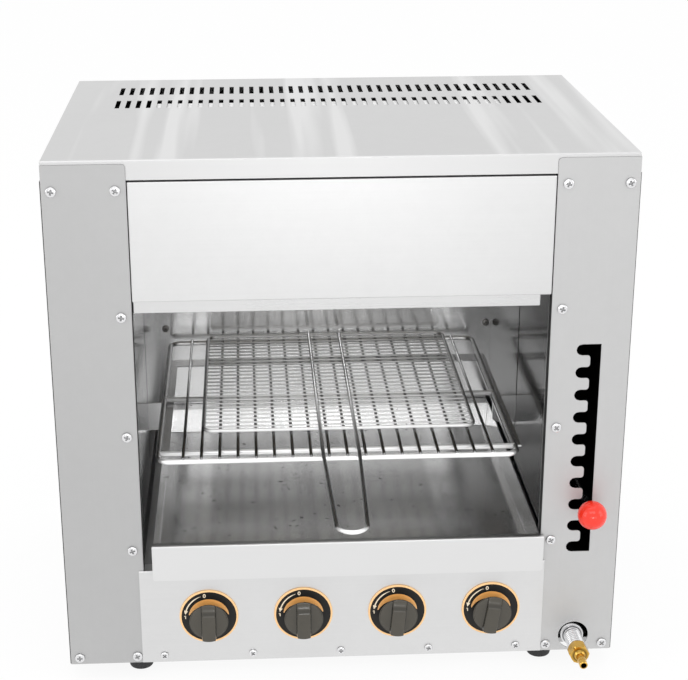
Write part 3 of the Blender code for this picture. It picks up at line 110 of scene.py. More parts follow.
@titled
class GrillColours(bpy.types.PropertyGroup):
    """Base colours of the finishes."""

    cover: swatch("Steel of the top cover", 0.60)
    side: swatch("Steel of the side and rear panels", 0.50)
    # Darker than the right front panel's same steel, as painted shade of the left side.
    left_column_painted_shade: swatch("Steel of the left front panel", 0.52)
    right_column: swatch("Steel of the right front panel", 0.60)
    fascia: swatch("Steel of the fascia over the opening", 0.70)
    control: swatch("Steel of the control panel", 0.72)
    # Much darker than the back lining's same steel, as painted shade of the cavity's sides.
    lining: swatch("Bright steel of the cavity's sides", 0.28)
    back_lining: swatch("Bright steel of the cavity's back", 0.92)
    tray: swatch("Bright steel of the drip tray", 0.76)
    tray_face: swatch("Duller steel of the drip tray's face", 0.76)
    hood: swatch("Steel of the burner hood", 0.70)
    carriage: swatch("Steel of the lift carriage", 0.60)
    burner: swatch("Heat-darkened steel of the burners", 0.28, 0.27, 0.26)
    wire: swatch("Chromed wire of the rack and the net", 0.98)
    zinc: swatch("Zinc-plated steel", 0.80, 0.80, 0.81)
    brass: swatch("Machined brass", 0.78, 0.47, 0.10)
    aluminium: swatch("Aluminium of the gas tubes", 0.80, 0.80, 0.81)
    ceramic: swatch("Ceramic of the burners' tiles", 0.86, 0.78, 0.66)
    dial: swatch("Black lacquer of the dial plates", 0.010, 0.009, 0.008)
    gold: swatch("Printed crescent of the dials", 1.0, 0.47, 0.13)
    rim: swatch("Pale gold rim of the dials", 1.0, 0.63, 0.31)
    cream: swatch("Printed arrow and numbers of the dials", 0.94, 0.80, 0.60)
    knob: swatch("Dark olive-grey plastic of the knobs", 0.060, 0.054, 0.042)
    ball: swatch("Glossy red plastic of the lever's ball", 0.84, 0.036, 0.018)
    rubber: swatch("Black rubber of the feet", 0.025, 0.025, 0.026)
    floor: swatch("Pale studio floor", 0.90)


@titled
class GrillSizes(bpy.types.PropertyGroup):
    """Sizes of what is added to the solids or replaces them."""

    rod_radius: length("Rods of the rack's frame", 0.003)
    rack_wire_radius: length("Bearing wires of the rack", 0.0016)
    rack_corner: length("Bend of the rack's frame", 0.012)
    net_rod_radius: length("Frame and handle of the hand net", 0.002)
    net_wire_radius: length("Fine wires of the hand net", 0.00105)
    net_corner: length("Bend of the net's frame", 0.010)
    screw_radius: length("Heads of the column screws", 0.0052)
    small_screw_radius: length("Heads of the control panel's screws", 0.0043)
    screw_height: length("How far a screw's head stands out", 0.0025)
    print_thickness: length("Lacquer of the dials' printed marks", 0.00006)
    wire_sides: count("Faces round a wire", 14, least=6)
    round_steps: count("Faces round a turned piece", 72, least=12)


@titled
class GrillCamera(bpy.types.PropertyGroup):
    """Where the grill is seen from, and its light."""

    place: FloatVectorProperty(description="Place of the camera", subtype="TRANSLATION", unit="LENGTH",
                               default=(-0.09309, -1.56814, 0.92377), precision=5)
    turn_deg: FloatVectorProperty(description="Turn of the camera in degrees about X, Y and Z",
                                  default=(70.4588, 0.1721, -2.9355), precision=4)
    lens: number("Focal length in millimetres", 81.516, precision=3)
    shift_x: number("Sideways shift of the picture", 0.03052, precision=5)
    shift_y: number("Upward shift of the picture", -0.03488, precision=5)
    key: number("Power of the large front light in watts", 11, min=0)
    fill: number("Power of each side light in watts", 9, min=0)
    top: number("Power of the overhead light in watts", 8, min=0)
    spot: number("Power of the small low front light in watts", 1.2, min=0)
    low: number("Power of the long low front light in watts", 3.5, min=0)
    world: number("Strength of the room's own light", 1.0, min=0)


class Signal:
    """A shader socket whose arithmetic adds Math nodes."""

    def __init__(self, tree, socket):
        self.tree = tree
        self.socket = socket

    def math(self, operation, other=0.0, reflected=False):
        """One Math node. reflected puts the other value first."""
        node = self.tree.nodes.new("ShaderNodeMath")
        node.operation = operation
        for place, value in enumerate((other, self) if reflected else (self, other)):
            feed(self.tree, node.inputs[place], value)
        return Signal(self.tree, node.outputs[0])

    __add__ = __radd__ = partialmethod(math, "ADD")
    __sub__ = partialmethod(math, "SUBTRACT")
    __rsub__ = partialmethod(math, "SUBTRACT", reflected=True)
    __mul__ = __rmul__ = partialmethod(math, "MULTIPLY")
    __mod__ = partialmethod(math, "FLOORED_MODULO")
    __lt__ = partialmethod(math, "LESS_THAN")
    __gt__ = partialmethod(math, "GREATER_THAN")

    def hypot(self, other):
        """The long side of a right triangle."""
        return (self * self + other * other).math("SQRT")


def feed(tree, socket, value):
    """Links a socket to a signal, or sets its own value."""
    if isinstance(value, Signal):
        tree.links.new(value.socket, socket)
    elif socket.type == "RGBA":
        socket.default_value = (*value, 1)
    else:
        socket.default_value = value


class Nodes:
    """A node tree, with one way to add any node but a Math node."""

    def __init__(self, tree):
        self.tree = tree

    def node(self, kind, output=0, settings=None, numbered=None, **inputs):
        """Adds a node, sets its settings, feeds its sockets and returns one of its outputs.

        numbered feeds sockets by their places, where their names repeat.
        """
        made = self.tree.nodes.new("ShaderNode" + kind)
        for setting, value in (settings or {}).items():
            if setting == "stops":
                set_stops(made.color_ramp, value)
            else:
                setattr(made, setting, value)
        named = {socket.replace("_", " "): value for socket, value in inputs.items()}
        for socket, value in {**named, **(numbered or {})}.items():
            feed(self.tree, made.inputs[socket], value)
        return Signal(self.tree, made.outputs[output])

    def looked_at(self):
        """1 where the camera, a metal or a glass looks, and 0 for what only lights."""
        path = self.node("LightPath").socket.node
        camera, metal, glass = [Signal(self.tree, path.outputs[f"Is {ray} Ray"])
                                for ray in ("Camera", "Glossy", "Transmission")]
        return (camera + metal + glass).math("MINIMUM", 1.0)


class Finish(Nodes):
    """A material on a Principled shader."""

    def __init__(self, name, colour, roughness, metallic=0.0, **settings):
        self.material = bpy.data.materials.new(name)
        self.material.use_nodes = True
        super().__init__(self.material.node_tree)
        self.shader = self.tree.nodes["Principled BSDF"]
        self.set("Base Color", tuple(colour))
        self.set("Roughness", roughness)
        self.set("Metallic", metallic)
        for socket, value in settings.items():
            self.set(socket.replace("_", " "), value)
        self.material.diffuse_color = (*colour, 1)

    def set(self, socket, value):
        """Feeds a socket of the shader."""
        feed(self.tree, self.shader.inputs[socket], value)

    def place(self, scale=(1, 1, 1), location=(0, 0, 0), turn_deg=(0, 0, 0)):
        """Object coordinates, scaled, moved and turned."""
        return self.node("Mapping", Vector=self.node("TexCoord", "Object"), Scale=scale, Location=location,
                         Rotation=[math.radians(angle) for angle in turn_deg])

    def noise(self, scale, vector, detail=2.0, roughness=0.5):
        """Soft noise between 0 and 1."""
        return self.node("TexNoise", Vector=vector, Scale=scale, Detail=detail, Roughness=roughness)

    def axes(self):
        """The three object coordinates of a point, in metres."""
        split = self.node("SeparateXYZ", Vector=self.node("TexCoord", "Object"))
        return [Signal(self.tree, output) for output in split.socket.node.outputs]

    def within(self, *sides):
        """1 inside a box given by an axis and two places on it, once or more; 0 outside."""
        places, inside = self.axes(), 1.0
        for axis, low, high in sides:
            inside = (places[axis] > low) * (places[axis] < high) * inside
        return inside

    def tone(self):
        """The tone stored in the piece's mesh: 1 where it is plain, less where shade is painted into grooves,
        recesses and wires, and on the dials' printed rims.
        """
        return self.node("Attribute", "Fac", {"attribute_name": "tone"})

    def ramp(self, value, *stops):
        """Brightness along (position, value) stops."""
        return self.node("ValToRGB", settings={"stops": stops}, Fac=value)

    def tint(self, factor, first, second):
        """A colour between two, mixed by a factor."""
        return self.node("Mix", 2, {"data_type": "RGBA"}, {0: factor, 6: first, 7: second})

    def bump(self, height, strength, distance):
        """Makes a height into small dents of the surface."""
        self.set("Normal", self.node("Bump", Height=height, Strength=strength, Distance=distance))


def set_stops(ramp, stops):
    """Gives a ramp its grey stops, in order."""
    while len(ramp.elements) < len(stops):
        ramp.elements.new(1)
    for element, (position, value) in zip(ramp.elements, stops):
        element.position = position
        element.color = (value, value, value, 1)


def shade(colour, share):
    """A colour made darker or lighter by a share."""
    return tuple(channel * share for channel in colour)


def sheet_steel(name, colour, roughness, grain, painted_light_zones=(), streaks=0.0):
    """Stainless sheet: a fine grain along one axis, slow clouds in its gloss, and zones of painted light.

    A zone is a box, given as an axis and two places on it for one or more axes, then the share of
    the colour there, under 1 for painted shade and over 1 for a painted highlight, and what its
    roughness gains. streaks is the strength of long bright bands.
    """
    fine_gain, cloud_gain = 0.05, 0.08
    steel = Finish(name, colour, roughness, 1.0)
    fine = steel.noise(1.0, steel.place(scale=grain), detail=4, roughness=0.7)
    clouds = steel.noise(7.0, steel.place(), detail=3, roughness=0.55)
    smears = steel.noise(1.0, steel.place(scale=(70, 60, 70), turn_deg=(0, 15, 0)), detail=4, roughness=0.75)
    gloss = fine * fine_gain + clouds * cloud_gain + (roughness - (fine_gain + cloud_gain) / 2)
    tone = steel.tint(clouds * 0.45 + fine * 0.25 + smears * 0.30, shade(colour, 0.90), shade(colour, 1.08))
    if streaks:
        bands = steel.noise(1.0, steel.place(scale=(34, 1.3, 1), location=(3.1, 0, 0)))
        bright = steel.ramp(bands, (0.0, 0.0), (0.52, 0.0), (0.68, 1.0), (1.0, 1.0))
        tone = steel.tint(bright * streaks, tone, shade(colour, 1.30))
    for sides, share, gain in painted_light_zones:
        inside = steel.within(*sides)
        tone = steel.tint(inside, tone, shade(colour, share))
        gloss = gloss + inside * gain
    steel.set("Roughness", gloss)
    steel.set("Base Color", tone)
    steel.bump(fine, 0.06, 0.0002)
    return steel.material


def bright_steel(name, colour, roughness, haze=0.05, wave=0.12, specks=0.0, dark=(), plain=(), **settings):
    """Bright sheet, nearly a mirror: light haze and wipe marks, long shallow waves, a few dark specks.

    dark holds boxes in which the sheet is nearly black, as painted shade, such as its cut edges and
    its back. plain holds boxes in which the sheet is duller, each with its colour; that colour is
    painted shade on the side linings' lower wall and on the tray's rim.
    """
    steel = Finish(name, colour, roughness, 1.0, **settings)
    cloud = steel.noise(6.0, steel.place(), detail=4, roughness=0.6)
    wipes = steel.noise(3.0, steel.place(scale=(14, 4, 14), turn_deg=(0, 0, 25)), detail=4, roughness=0.7)
    gloss = cloud * haze + wipes * haze + (roughness - haze)
    tone = steel.tint(cloud * 0.6 + wipes * 0.4, shade(colour, 0.90), shade(colour, 1.07))
    if specks:
        dots = steel.noise(150.0, steel.place(), detail=1, roughness=0.4)
        tone = steel.tint(steel.ramp(dots, (0.0, 0.0), (0.73, 0.0), (0.76, specks), (1.0, specks)), tone,
                          shade(colour, 0.25))
    for sides in dark:
        tone = steel.tint(steel.within(*sides), tone, shade(colour, 0.05))
    dull_gain = 0.24
    for sides, dull in plain:
        inside = steel.within(*sides)
        tone = steel.tint(inside, tone, dull)
        gloss = gloss + inside * dull_gain
    steel.set("Roughness", gloss)
    steel.set("Base Color", tone)
    steel.bump(steel.noise(2.0, steel.place(), detail=1), wave, 0.0012)
    return steel.material


def patches(metal, roughness, scale=38.0):
    """Soft patches, which also make the gloss drift about the plain roughness."""
    soft = metal.noise(scale, metal.place())
    metal.set("Roughness", soft * 0.12 + (roughness - 0.06))
    return soft


def round_metal(name, colour, roughness, painted_recess_shade=False):
    """Plated or machined round stock with a fine uneven skin; if asked, nearly black where its piece's tone
    is low, as painted shade in grooves, recesses and bores.
    """
    metal = Finish(name, colour, roughness, 1.0)
    plain = metal.tint(patches(metal, roughness), shade(colour, 0.88), shade(colour, 1.06))
    metal.set("Base Color", metal.tint(metal.tone(), shade(colour, 0.03), plain) if painted_recess_shade else plain)
    metal.bump(metal.noise(260.0, metal.place(), detail=3, roughness=0.6), 0.15, 0.00005)
    return metal.material


def wire_metal(name, colour, roughness, painted_light_share):
    """Chromed wire with painted light by direction: pale and satin where its tone is high, on wires across
    the grill; a dark mirror as painted shade where it is low, on wires from front to back.
    """
    wire = Finish(name, colour, roughness, 1.0, IOR=2.2)
    tone = wire.tone()
    wire.set("Metallic", 1 - tone * painted_light_share)
    patches(wire, roughness, 60.0)
    wire.set("Base Color", wire.tint(tone, shade(colour, 0.24), colour))
    return wire.material


def plastic(name, colour, roughness, grain=900.0, depth=0.00004, print_and_painted_shade=None, **settings):
    """Moulded plastic, rubber, thick print and the heat shield's lightened sheet: a slight grain, and where
    its tone is low another colour, the dials' print and the knobs' painted shade.
    """
    made = Finish(name, colour, roughness, **settings)
    plain = made.tint(patches(made, roughness, 60.0), shade(colour, 0.86), shade(colour, 1.12))
    made.set("Base Color", made.tint(made.tone(), print_and_painted_shade, plain) if print_and_painted_shade else plain)
    made.bump(made.noise(grain, made.place()), 0.12, depth)
    return made.material


def dress(material, *nodes):
    """Gives solids of the frame a material."""
    for node in nodes:
        slots = NODES[node].data.materials
        slots.clear()
        slots.append(material)


def grid_faces(rows, columns, wrap_rows=False, wrap_columns=False):
    """Quads between neighbours on a grid of points, as indices into its flattened rows."""
    row = np.arange(rows if wrap_rows else rows - 1)[:, None]
    column = np.arange(columns if wrap_columns else columns - 1)[None, :]
    next_row, next_column = (row + 1) % rows, (column + 1) % columns
    corners = [row * columns + column, row * columns + next_column,
               next_row * columns + next_column, next_row * columns + column]
    return np.stack(corners, axis=-1).reshape(-1, 4)


def surface(points, wrap_rows=False, wrap_columns=False, tone=1.0):
    """Points on a rows x columns grid with their faces, and a tone for each point, which carries painted
    shade and light, and the dials' print.
    """
    rows, columns = points.shape[:2]
    tones_and_painted_shades = np.broadcast_to(np.asarray(tone, float), (rows, columns)).reshape(-1)
    return points.reshape(-1, 3), grid_faces(rows, columns, wrap_rows, wrap_columns), tones_and_painted_shades


def sheet(inner, outer):
    """A closed sheet between two grids: each row runs out on one grid and back on the other.

    At either end the outer row is drawn in to the inner one, which closes the edge.
    """
    loop = np.concatenate([outer, inner[:, ::-1]], axis=1)
    ends = np.concatenate([inner, inner[:, ::-1]], axis=1)
    return surface(np.concatenate([ends[:1], loop, ends[-1:]]), wrap_columns=True)


def add_mesh(name, points, faces, material):
    """A mesh of one material."""
    mesh = bpy.data.meshes.new(name)
    mesh.from_pydata(points.tolist(), [], faces.tolist())
    mesh.materials.append(material)
    return mesh


def add_object(name, data):
    """An object, linked to the scene."""
    made = bpy.data.objects.new(name, data)
    bpy.context.scene.collection.objects.link(made)
    return made


def piece(name, shapes, material, body, replaced=(), sharp_deg=35):
    """One object from several surfaces: doubles merged, faces turned out, its place in its mesh."""
    offsets = np.cumsum([0] + [len(points) for points, _, _ in shapes])
    faces = np.concatenate([faces + offset for (_, faces, _), offset in zip(shapes, offsets)])
    mesh = add_mesh(name, np.concatenate([points for points, _, _ in shapes]), faces, material)
    # The tones, which carry painted shade and light, become an attribute of the points.
    tones_and_painted_shades = mesh.attributes.new("tone", "FLOAT", "POINT")
    tones_and_painted_shades.data.foreach_set("value", np.concatenate([tones_and_painted_shades for _, _, tones_and_painted_shades in shapes]))
    shape = bmesh.new()
    shape.from_mesh(mesh)
    bmesh.ops.remove_doubles(shape, verts=shape.verts, dist=MERGE)
    bmesh.ops.recalc_face_normals(shape, faces=shape.faces)
    shape.to_mesh(mesh)
    shape.free()
    mesh.shade_smooth()
    mesh.set_sharp_from_angle(angle=math.radians(sharp_deg))
    made = add_object(name, mesh)
    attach(made, body)
    if replaced:
        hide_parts(*replaced)


def turned(profile, start, towards=(0, -1, 0), steps=72, tone=1.0):
    """A profile of (radius, reach) turned about a line: each point goes round at its own reach.

    Its radius times the cosine goes to the side, and times the sine goes up. tone is one number,
    or one for each point of the profile.
    """
    axis = np.array(towards, float)
    side = np.cross(axis, (0, 0, 1)) if abs(axis[2]) < 0.9 else np.array((1.0, 0, 0))
    up = np.cross(side, axis)
    angle = np.arange(steps) * TURN / steps
    radius, reach = np.array(profile, float).T
    spokes = np.cos(angle)[:, None] * side + np.sin(angle)[:, None] * up
    points = np.array(start) + reach[:, None, None] * axis + radius[:, None, None] * spokes[None]
    return surface(points, wrap_columns=True, tone=np.reshape(tone, (-1, 1)))


def rounded_profile(corners, radius, steps=4):
    """A profile with its corners rounded, apart from its two ends.

    Each corner becomes the curve (1 - t)^2 start + 2t(1 - t) corner + t^2 end.
    """
    corners = np.array(corners, float)
    rounded = [corners[:1]]
    for before, corner, after in zip(corners, corners[1:], corners[2:]):
        to_start, to_end = before - corner, after - corner
        room = min(np.linalg.norm(to_start), np.linalg.norm(to_end)) / 2
        reach = min(radius, room)
        start = corner + to_start / np.linalg.norm(to_start) * reach
        end = corner + to_end / np.linalg.norm(to_end) * reach
        share = np.linspace(0, 1, steps + 1)[:, None]
        rounded.append((1 - share) ** 2 * start + 2 * share * (1 - share) * corner + share ** 2 * end)
    rounded.append(corners[-1:])
    return np.concatenate(rounded)


def tube(path, radius, sides, closed=False):
    """A wire in a level plane: a circle carried along the path, square to it, with rounded ends.

    The radius times the cosine goes to the path's side, and times the sine goes up. The tone is 1
    where the wire runs across the grill and falls to 0 where it runs from front to back, so that the
    wires across are painted lit and those from front to back painted shaded.
    """
    path = np.array(path, float)
    if closed:
        along = np.roll(path, -1, 0) - np.roll(path, 1, 0)
    else:
        along = np.gradient(path, axis=0)
    along /= np.linalg.norm(along, axis=1)[:, None]
    radii = np.full(len(path), radius)
    if not closed:
        lean = np.linspace(0, math.pi / 2, 4)
        start = path[0] - np.sin(lean[::-1])[:, None] * along[0] * radius * 0.4
        end = path[-1] + np.sin(lean)[:, None] * along[-1] * radius * 0.4
        path = np.concatenate([start, path[1:-1], end])
        along = np.concatenate([np.repeat(along[:1], 4, 0), along[1:-1], np.repeat(along[-1:], 4, 0)])
        radii = np.concatenate([np.cos(lean[::-1]), np.ones(len(path) - 8), np.cos(lean)]) * radius
    side = np.cross(along, (0, 0, 1))
    up = np.cross(side, along)
    angle = np.arange(sides) * TURN / sides
    ring = np.cos(angle)[None, :, None] * side[:, None] + np.sin(angle)[None, :, None] * up[:, None]
    tone = along[:, :1] ** 2
    return surface(path[:, None] + radii[:, None, None] * ring, closed, True, tone)


def arc(x, y, radius, start_deg, end_deg, steps):
    """Points along an arc: the radius times the cosine on x, and times the sine on y."""
    angle = np.radians(np.linspace(start_deg, end_deg, steps + 1))
    return np.stack([x + radius * np.cos(angle), y + radius * np.sin(angle)], axis=1)


def rounded_loop(low, high, corner, height, steps=10):
    """Points round a level rectangle with rounded corners."""
    corners = [(high[0] - corner, high[1] - corner, 0), (low[0] + corner, high[1] - corner, 90),
               (low[0] + corner, low[1] + corner, 180), (high[0] - corner, low[1] + corner, 270)]
    arcs = [arc(x, y, corner, start, start + 90, steps) for x, y, start in corners]
    return level(np.concatenate(arcs), height)


def level(points, height):
    """Flat points, all at one height."""
    points = np.array(points, float)
    return np.column_stack([points, np.full(len(points), height)])


def weld_beads(places, radius):
    """A bead where two wires are welded: a ball about each place, flattened to a share of its height."""
    sides, height_share = 8, 0.6
    angle = np.arange(sides) * TURN / sides
    lean = np.linspace(-math.pi / 2, math.pi / 2, 5)
    unit = np.stack([np.cos(lean)[:, None] * np.cos(angle), np.cos(lean)[:, None] * np.sin(angle),
                     np.sin(lean)[:, None] * np.full(sides, height_share)], axis=-1)
    # Beads sit half way between the wires' painted light and painted shade.
    return [surface(np.array(place) + radius * unit, wrap_columns=True, tone=0.5) for place in places]


def rolled(points, turn):
    """Points turned by an angle in the upright plane that faces the user."""
    x, y, z = np.moveaxis(points, -1, 0)
    cosine, sine = math.cos(turn), math.sin(turn)
    return np.stack([x * cosine - z * sine, y, z * cosine + x * sine], axis=-1)


class GRILL_OT_sheet_metal(bpy.types.Operator):
    """Finish the covers, panels, linings, hood, carriage and tray"""

    bl_idname = "grill.sheet_metal"
    bl_label = "Sheet metal"

    def execute(self, context):
        colours = context.scene.grill_colours
        across, upright, deep = (6, 500, 500), (500, 500, 6), (500, 6, 500)
        # Painted shade: faces that lie in the housing's shade take 0.12 of their colour and more roughness.
        painted_housing_shade = 0.12, 0.3
        through, skin, edge = 0.0009, 0.0003, 0.003
        low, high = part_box("top_cover")
        # Painted shade on the walls of the cover's vent slots.
        slots = ((2, high.z - through, high.z - 0.0002), (1, low.y + edge, high.y - edge),
                 (0, low.x + edge, high.x - edge)), *painted_housing_shade
        # Painted highlight: the cover's front bend is lightened to a bright line.
        painted_lip_highlight = ((1, -1, low.y + 0.0013),), 1.08, 0.08
        side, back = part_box("right_side_panel")[1].x - skin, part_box("back_panel")[1].y - skin
        # Painted shade on the inner faces of the side and rear panels.
        inside, painted_rear_shade = (((0, -side, side),), *painted_housing_shade), (((1, -1, back),), *painted_housing_shade)
        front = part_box("left_front_panel")[0].y
        # Painted shade on the front panels' faces behind their front.
        behind = ((1, front + through, front + 0.012),), *painted_housing_shade
        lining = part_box("right_liner")[1].x - through
        # Painted shade: the liners' backs, away from the cavity, are nearly black.
        dark = ((0, lining, 1),), ((0, -1, -lining),)
        tray_low, tray_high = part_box("drip_tray")
        # Painted shade: the liners' lower wall, in the gap beside the tray, takes a duller colour set to how
        # dim that gap looks.
        painted_gap_shade = ((2, -1, tray_high.z - 0.001),), shade(colours.lining, 1.6)
        tray_front = tray_low.y + 0.0025
        face = ((1, -1, tray_front),), colours.tray_face
        # Painted shade: the tray's top rims, all but the rear one, take 0.55 of the face's colour.
        painted_rim_shade_sides = (2, tray_high.z - 0.0006, 1), (1, tray_front, tray_high.y - 0.09)
        rim = painted_rim_shade_sides, shade(colours.tray_face, 0.55)
        for material, *nodes in (
                (sheet_steel("cover_steel", colours.cover, 0.34, deep, (slots, painted_lip_highlight), streaks=0.7),
                 "top_cover"),
                (sheet_steel("panel_steel", colours.side, 0.36, upright, (inside,)), "left_side_panel",
                 "right_side_panel"),
                (sheet_steel("rear_steel", colours.side, 0.36, upright, (painted_rear_shade,)), "back_panel"),
                (sheet_steel("base_steel", colours.side, 0.40, deep), "base_pan"),
                # Painted shade: the left front panel is a darker copy of the right one's steel.
                (sheet_steel("left_column_painted_shade_steel", colours.left_column_painted_shade, 0.52, upright, (behind,)),
                 "left_front_panel"),
                (sheet_steel("right_column_steel", colours.right_column, 0.56, upright, (behind,)),
                 "right_front_panel"),
                (sheet_steel("fascia_steel", colours.fascia, 0.38, across), "fascia"),
                (sheet_steel("control_steel", colours.control, 0.36, across), "control_panel"),
                (sheet_steel("hood_steel", colours.hood, 0.28, across), "burner_hood"),
                (sheet_steel("carriage_steel", colours.carriage, 0.22, across), "lift_frame",
                 "left_lift_bracket", "right_lift_bracket"),
                (bright_steel("lining_steel", colours.back_lining, 0.17, wave=0.04, Anisotropic=0.85,
                              Anisotropic_Rotation=0.25), "back_liner"),
                # Painted shade: the side linings are much darker than the back lining, nearly black at their
                # backs and dim beside the tray.
                (bright_steel("side_lining_steel", colours.lining, 0.11, dark=dark, plain=(painted_gap_shade,),
                              Specular_Tint=(0.6, 0.6, 0.6)), "left_liner", "right_liner"),
                (bright_steel("tray_steel", colours.tray, 0.15, haze=0.07, wave=0.05, specks=0.8,
                              plain=(face, rim)), "drip_tray")):
            dress(material, *nodes)
        return {"FINISHED"}


@titled
class GRILL_OT_heat_shield(bpy.types.Operator):
    """Draw the heat shield, whose rear part rises to just under the front row of vents"""

    bl_idname = "grill.heat_shield"
    bl_label = "Heat shield"

    gap: length("From the raised part up to the top of the side walls", 0.0011)
    raised: length("From the top of the slope to the rear edge", 0.042)
    slope: length("From the low part to the raised part", 0.010)
    thickness: length("Sheet of the shield", 0.0009)

    def execute(self, context):
        low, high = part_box("heat_shield")
        top_of_slope = high.y - self.raised
        depths = np.array([low.y, top_of_slope - self.slope, top_of_slope, high.y])
        floor = np.array([low.z + self.thickness] * 2 + [high.z - self.gap] * 2)
        inner = self.rows(low.x + self.thickness, high.x - self.thickness, depths, floor, high.z)
        outer = self.rows(low.x, high.x, depths, floor - self.thickness, high.z)
        # Painted light: the shield takes the cover's colour lightened 1.45 times, so that it looks lit under
        # the vents.
        material = plastic("shield_painted_light", shade(context.scene.grill_colours.cover, 1.45), 0.5)
        piece("heat_shield_plate", [sheet(inner, outer)], material, "housing", ["heat_shield"],
              sharp_deg=5)
        return {"FINISHED"}

    def rows(self, left, right, depths, floor, top):
        """At each depth, down the left wall, along the floor and up the right wall."""
        across = np.array([left, left, right, right])
        heights = np.stack([np.full(len(depths), top), floor, floor, np.full(len(depths), top)], axis=1)
        x, y = np.meshgrid(across, depths)
        return np.stack([x, y, heights], axis=-1)


class GRILL_OT_burners(bpy.types.Operator):
    """Finish the burners, their ceramic tiles, the gas pipework and the rods that guide the lift"""

    bl_idname = "grill.burners"
    bl_label = "Burners"

    def execute(self, context):
        colours = context.scene.grill_colours
        steel = round_metal("plated_steel", colours.zinc, 0.3)
        for name, material in (("burner", round_metal("burner_steel", colours.burner, 0.5)),
                               ("ceramic_tile", tile_ceramic(colours.ceramic)),
                               ("gas_tube", round_metal("tube_aluminium", colours.aluminium, 0.35)),
                               ("valve", round_metal("tap_brass", colours.brass, 0.3)),
                               ("valve_stem", steel)):
            dress(material, *[f"{name}_{i}" for i in NUMBERS])
        dress(steel, "gas_manifold", "left_lift_guide", "right_lift_guide")
        return {"FINISHED"}


def tile_ceramic(colour):
    """Cream ceramic with rows of fine burner holes, painted dark as their shade where the distance to a
    lattice point is short.
    """
    pitch, hole = 0.0026, 0.00065
    tile = Finish("burner_ceramic", colour, 0.85)
    across, along, _ = tile.axes()
    holes = (across % pitch - pitch / 2).hypot(along % pitch - pitch / 2) < hole
    stain = tile.noise(30.0, tile.place(), detail=3)
    # Painted shade: each hole is a dark dot, with a little stain mixed in.
    tile.set("Base Color", tile.tint(holes * 0.9 + stain * 0.1, colour, shade(colour, 0.12)))
    tile.bump(1 - holes, 0.8, 0.0006)
    return tile.material


@titled
class GRILL_OT_rack(bpy.types.Operator):
    """Draw the wire rack with round rods, wires and welds"""

    bl_idname = "grill.rack"
    bl_label = "Rack"

    wires: count("Bearing wires along the rack", 18)
    pitch: length("From one bearing wire to the next", 0.0189)
    second_rod: length("From the front rod to the rod behind it", 0.020)
    middle_rod: length("From the front rod to the middle rod", 0.167)

    def execute(self, context):
        sizes = context.scene.grill_sizes
        low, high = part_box("rack")
        rod, wire, sides = sizes.rod_radius, sizes.rack_wire_radius, sizes.wire_sides
        height, top = low.z + rod, high.z - wire
        left, front, right, back = low.x + rod, low.y + rod, high.x - rod, high.y - rod
        loop = rounded_loop((left, front), (right, back), sizes.rack_corner, height)
        shapes = [tube(loop, rod, sides, True)]
        rows = [front, front + self.second_rod, front + self.middle_rod, back]
        shapes += [tube([(left, y, height), (right, y, height)], rod, sides) for y in rows[1:3]]
        columns = (low.x + high.x) / 2 + (np.arange(self.wires) - (self.wires - 1) / 2) * self.pitch
        ends = front - wire / 2, back + wire / 2
        shapes += [tube([(x, ends[0], top), (x, ends[1], top)], wire, sides) for x in columns]
        bead, sink = wire * 1.35, wire * 0.7
        shapes += weld_beads([(x, y, top - sink) for x in columns for y in rows], bead)
        # Painted light: the rack's rods across are pale and satin, its wires from front to back a dark
        # mirror.
        material = wire_metal("rack_chrome", context.scene.grill_colours.wire, 0.18, 0.60)
        piece("rack_wires", shapes, material, "rack", ["rack"])
        return {"FINISHED"}


@titled
class GRILL_OT_net(bpy.types.Operator):
    """Draw the hand net with its fine wires and long handle"""

    bl_idname = "grill.net"
    bl_label = "Hand net"

    wires: count("Fine wires across the net", 26)
    wire_sides: count("Faces round a fine wire", 8, least=6)
    depth: length("Net from its front rod to its rear rod", 0.288)
    handle_width: length("Half the width of the handle at the net", 0.0187)
    handle_end: length("Half the width of the handle at its end", 0.0145)
    handle_shift: length("Handle's middle to the left of the net's middle", 0.0023)
    bend: length("From the front rod of the net to the bend in the handle", 0.068)

    def execute(self, context):
        sizes = context.scene.grill_sizes
        low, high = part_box("hand_net")
        rod, wire, sides = sizes.net_rod_radius, sizes.net_wire_radius, sizes.wire_sides
        back = high.y - rod
        front = back - self.depth
        left, right, height = low.x + rod, high.x - rod, low.z + rod
        loop = rounded_loop((left, front), (right, back), sizes.net_corner, height)
        shapes = [tube(loop, rod, sides, True)]
        rows = front + self.depth * np.arange(1, self.wires + 1) / (self.wires + 1)
        shapes += [tube([(left, y, height), (right, y, height)], wire, self.wire_sides) for y in rows]
        top = high.z - rod
        middle = (left + right) / 2 - self.handle_shift
        turn_y = low.y + rod + self.handle_end
        turn = arc(middle, turn_y, self.handle_end, 0, -180, 24)
        bend_y = front - self.bend
        near, far = middle + self.handle_width, middle - self.handle_width
        path = np.concatenate([[(near, back), (near, bend_y)], turn, [(far, bend_y), (far, back)]])
        shapes.append(tube(level(path, top), rod, sides))
        bead, rise, inset, sink = wire * 1.3, wire * 0.3, rod * 0.6, rod * 0.85
        beads = [(x, y, height + rise) for y in rows for x in (left + inset, right - inset)]
        beads += [(x, y, top - sink) for y in (*rows, front, back) for x in (near, far)]
        shapes += weld_beads(beads, bead)
        # Painted light: the net's wires across are pale and satin, its rods from front to back a dark mirror.
        material = wire_metal("net_chrome", context.scene.grill_colours.wire, 0.18, 0.90)
        piece("net_wires", shapes, material, "hand_net", ["hand_net"])
        return {"FINISHED"}


def smooth_step(value):
    """0 below 0, 1 above 1, and 3t^2 - 2t^3 between."""
    share = np.clip(value, 0, 1)
    return share * share * (3 - 2 * share)


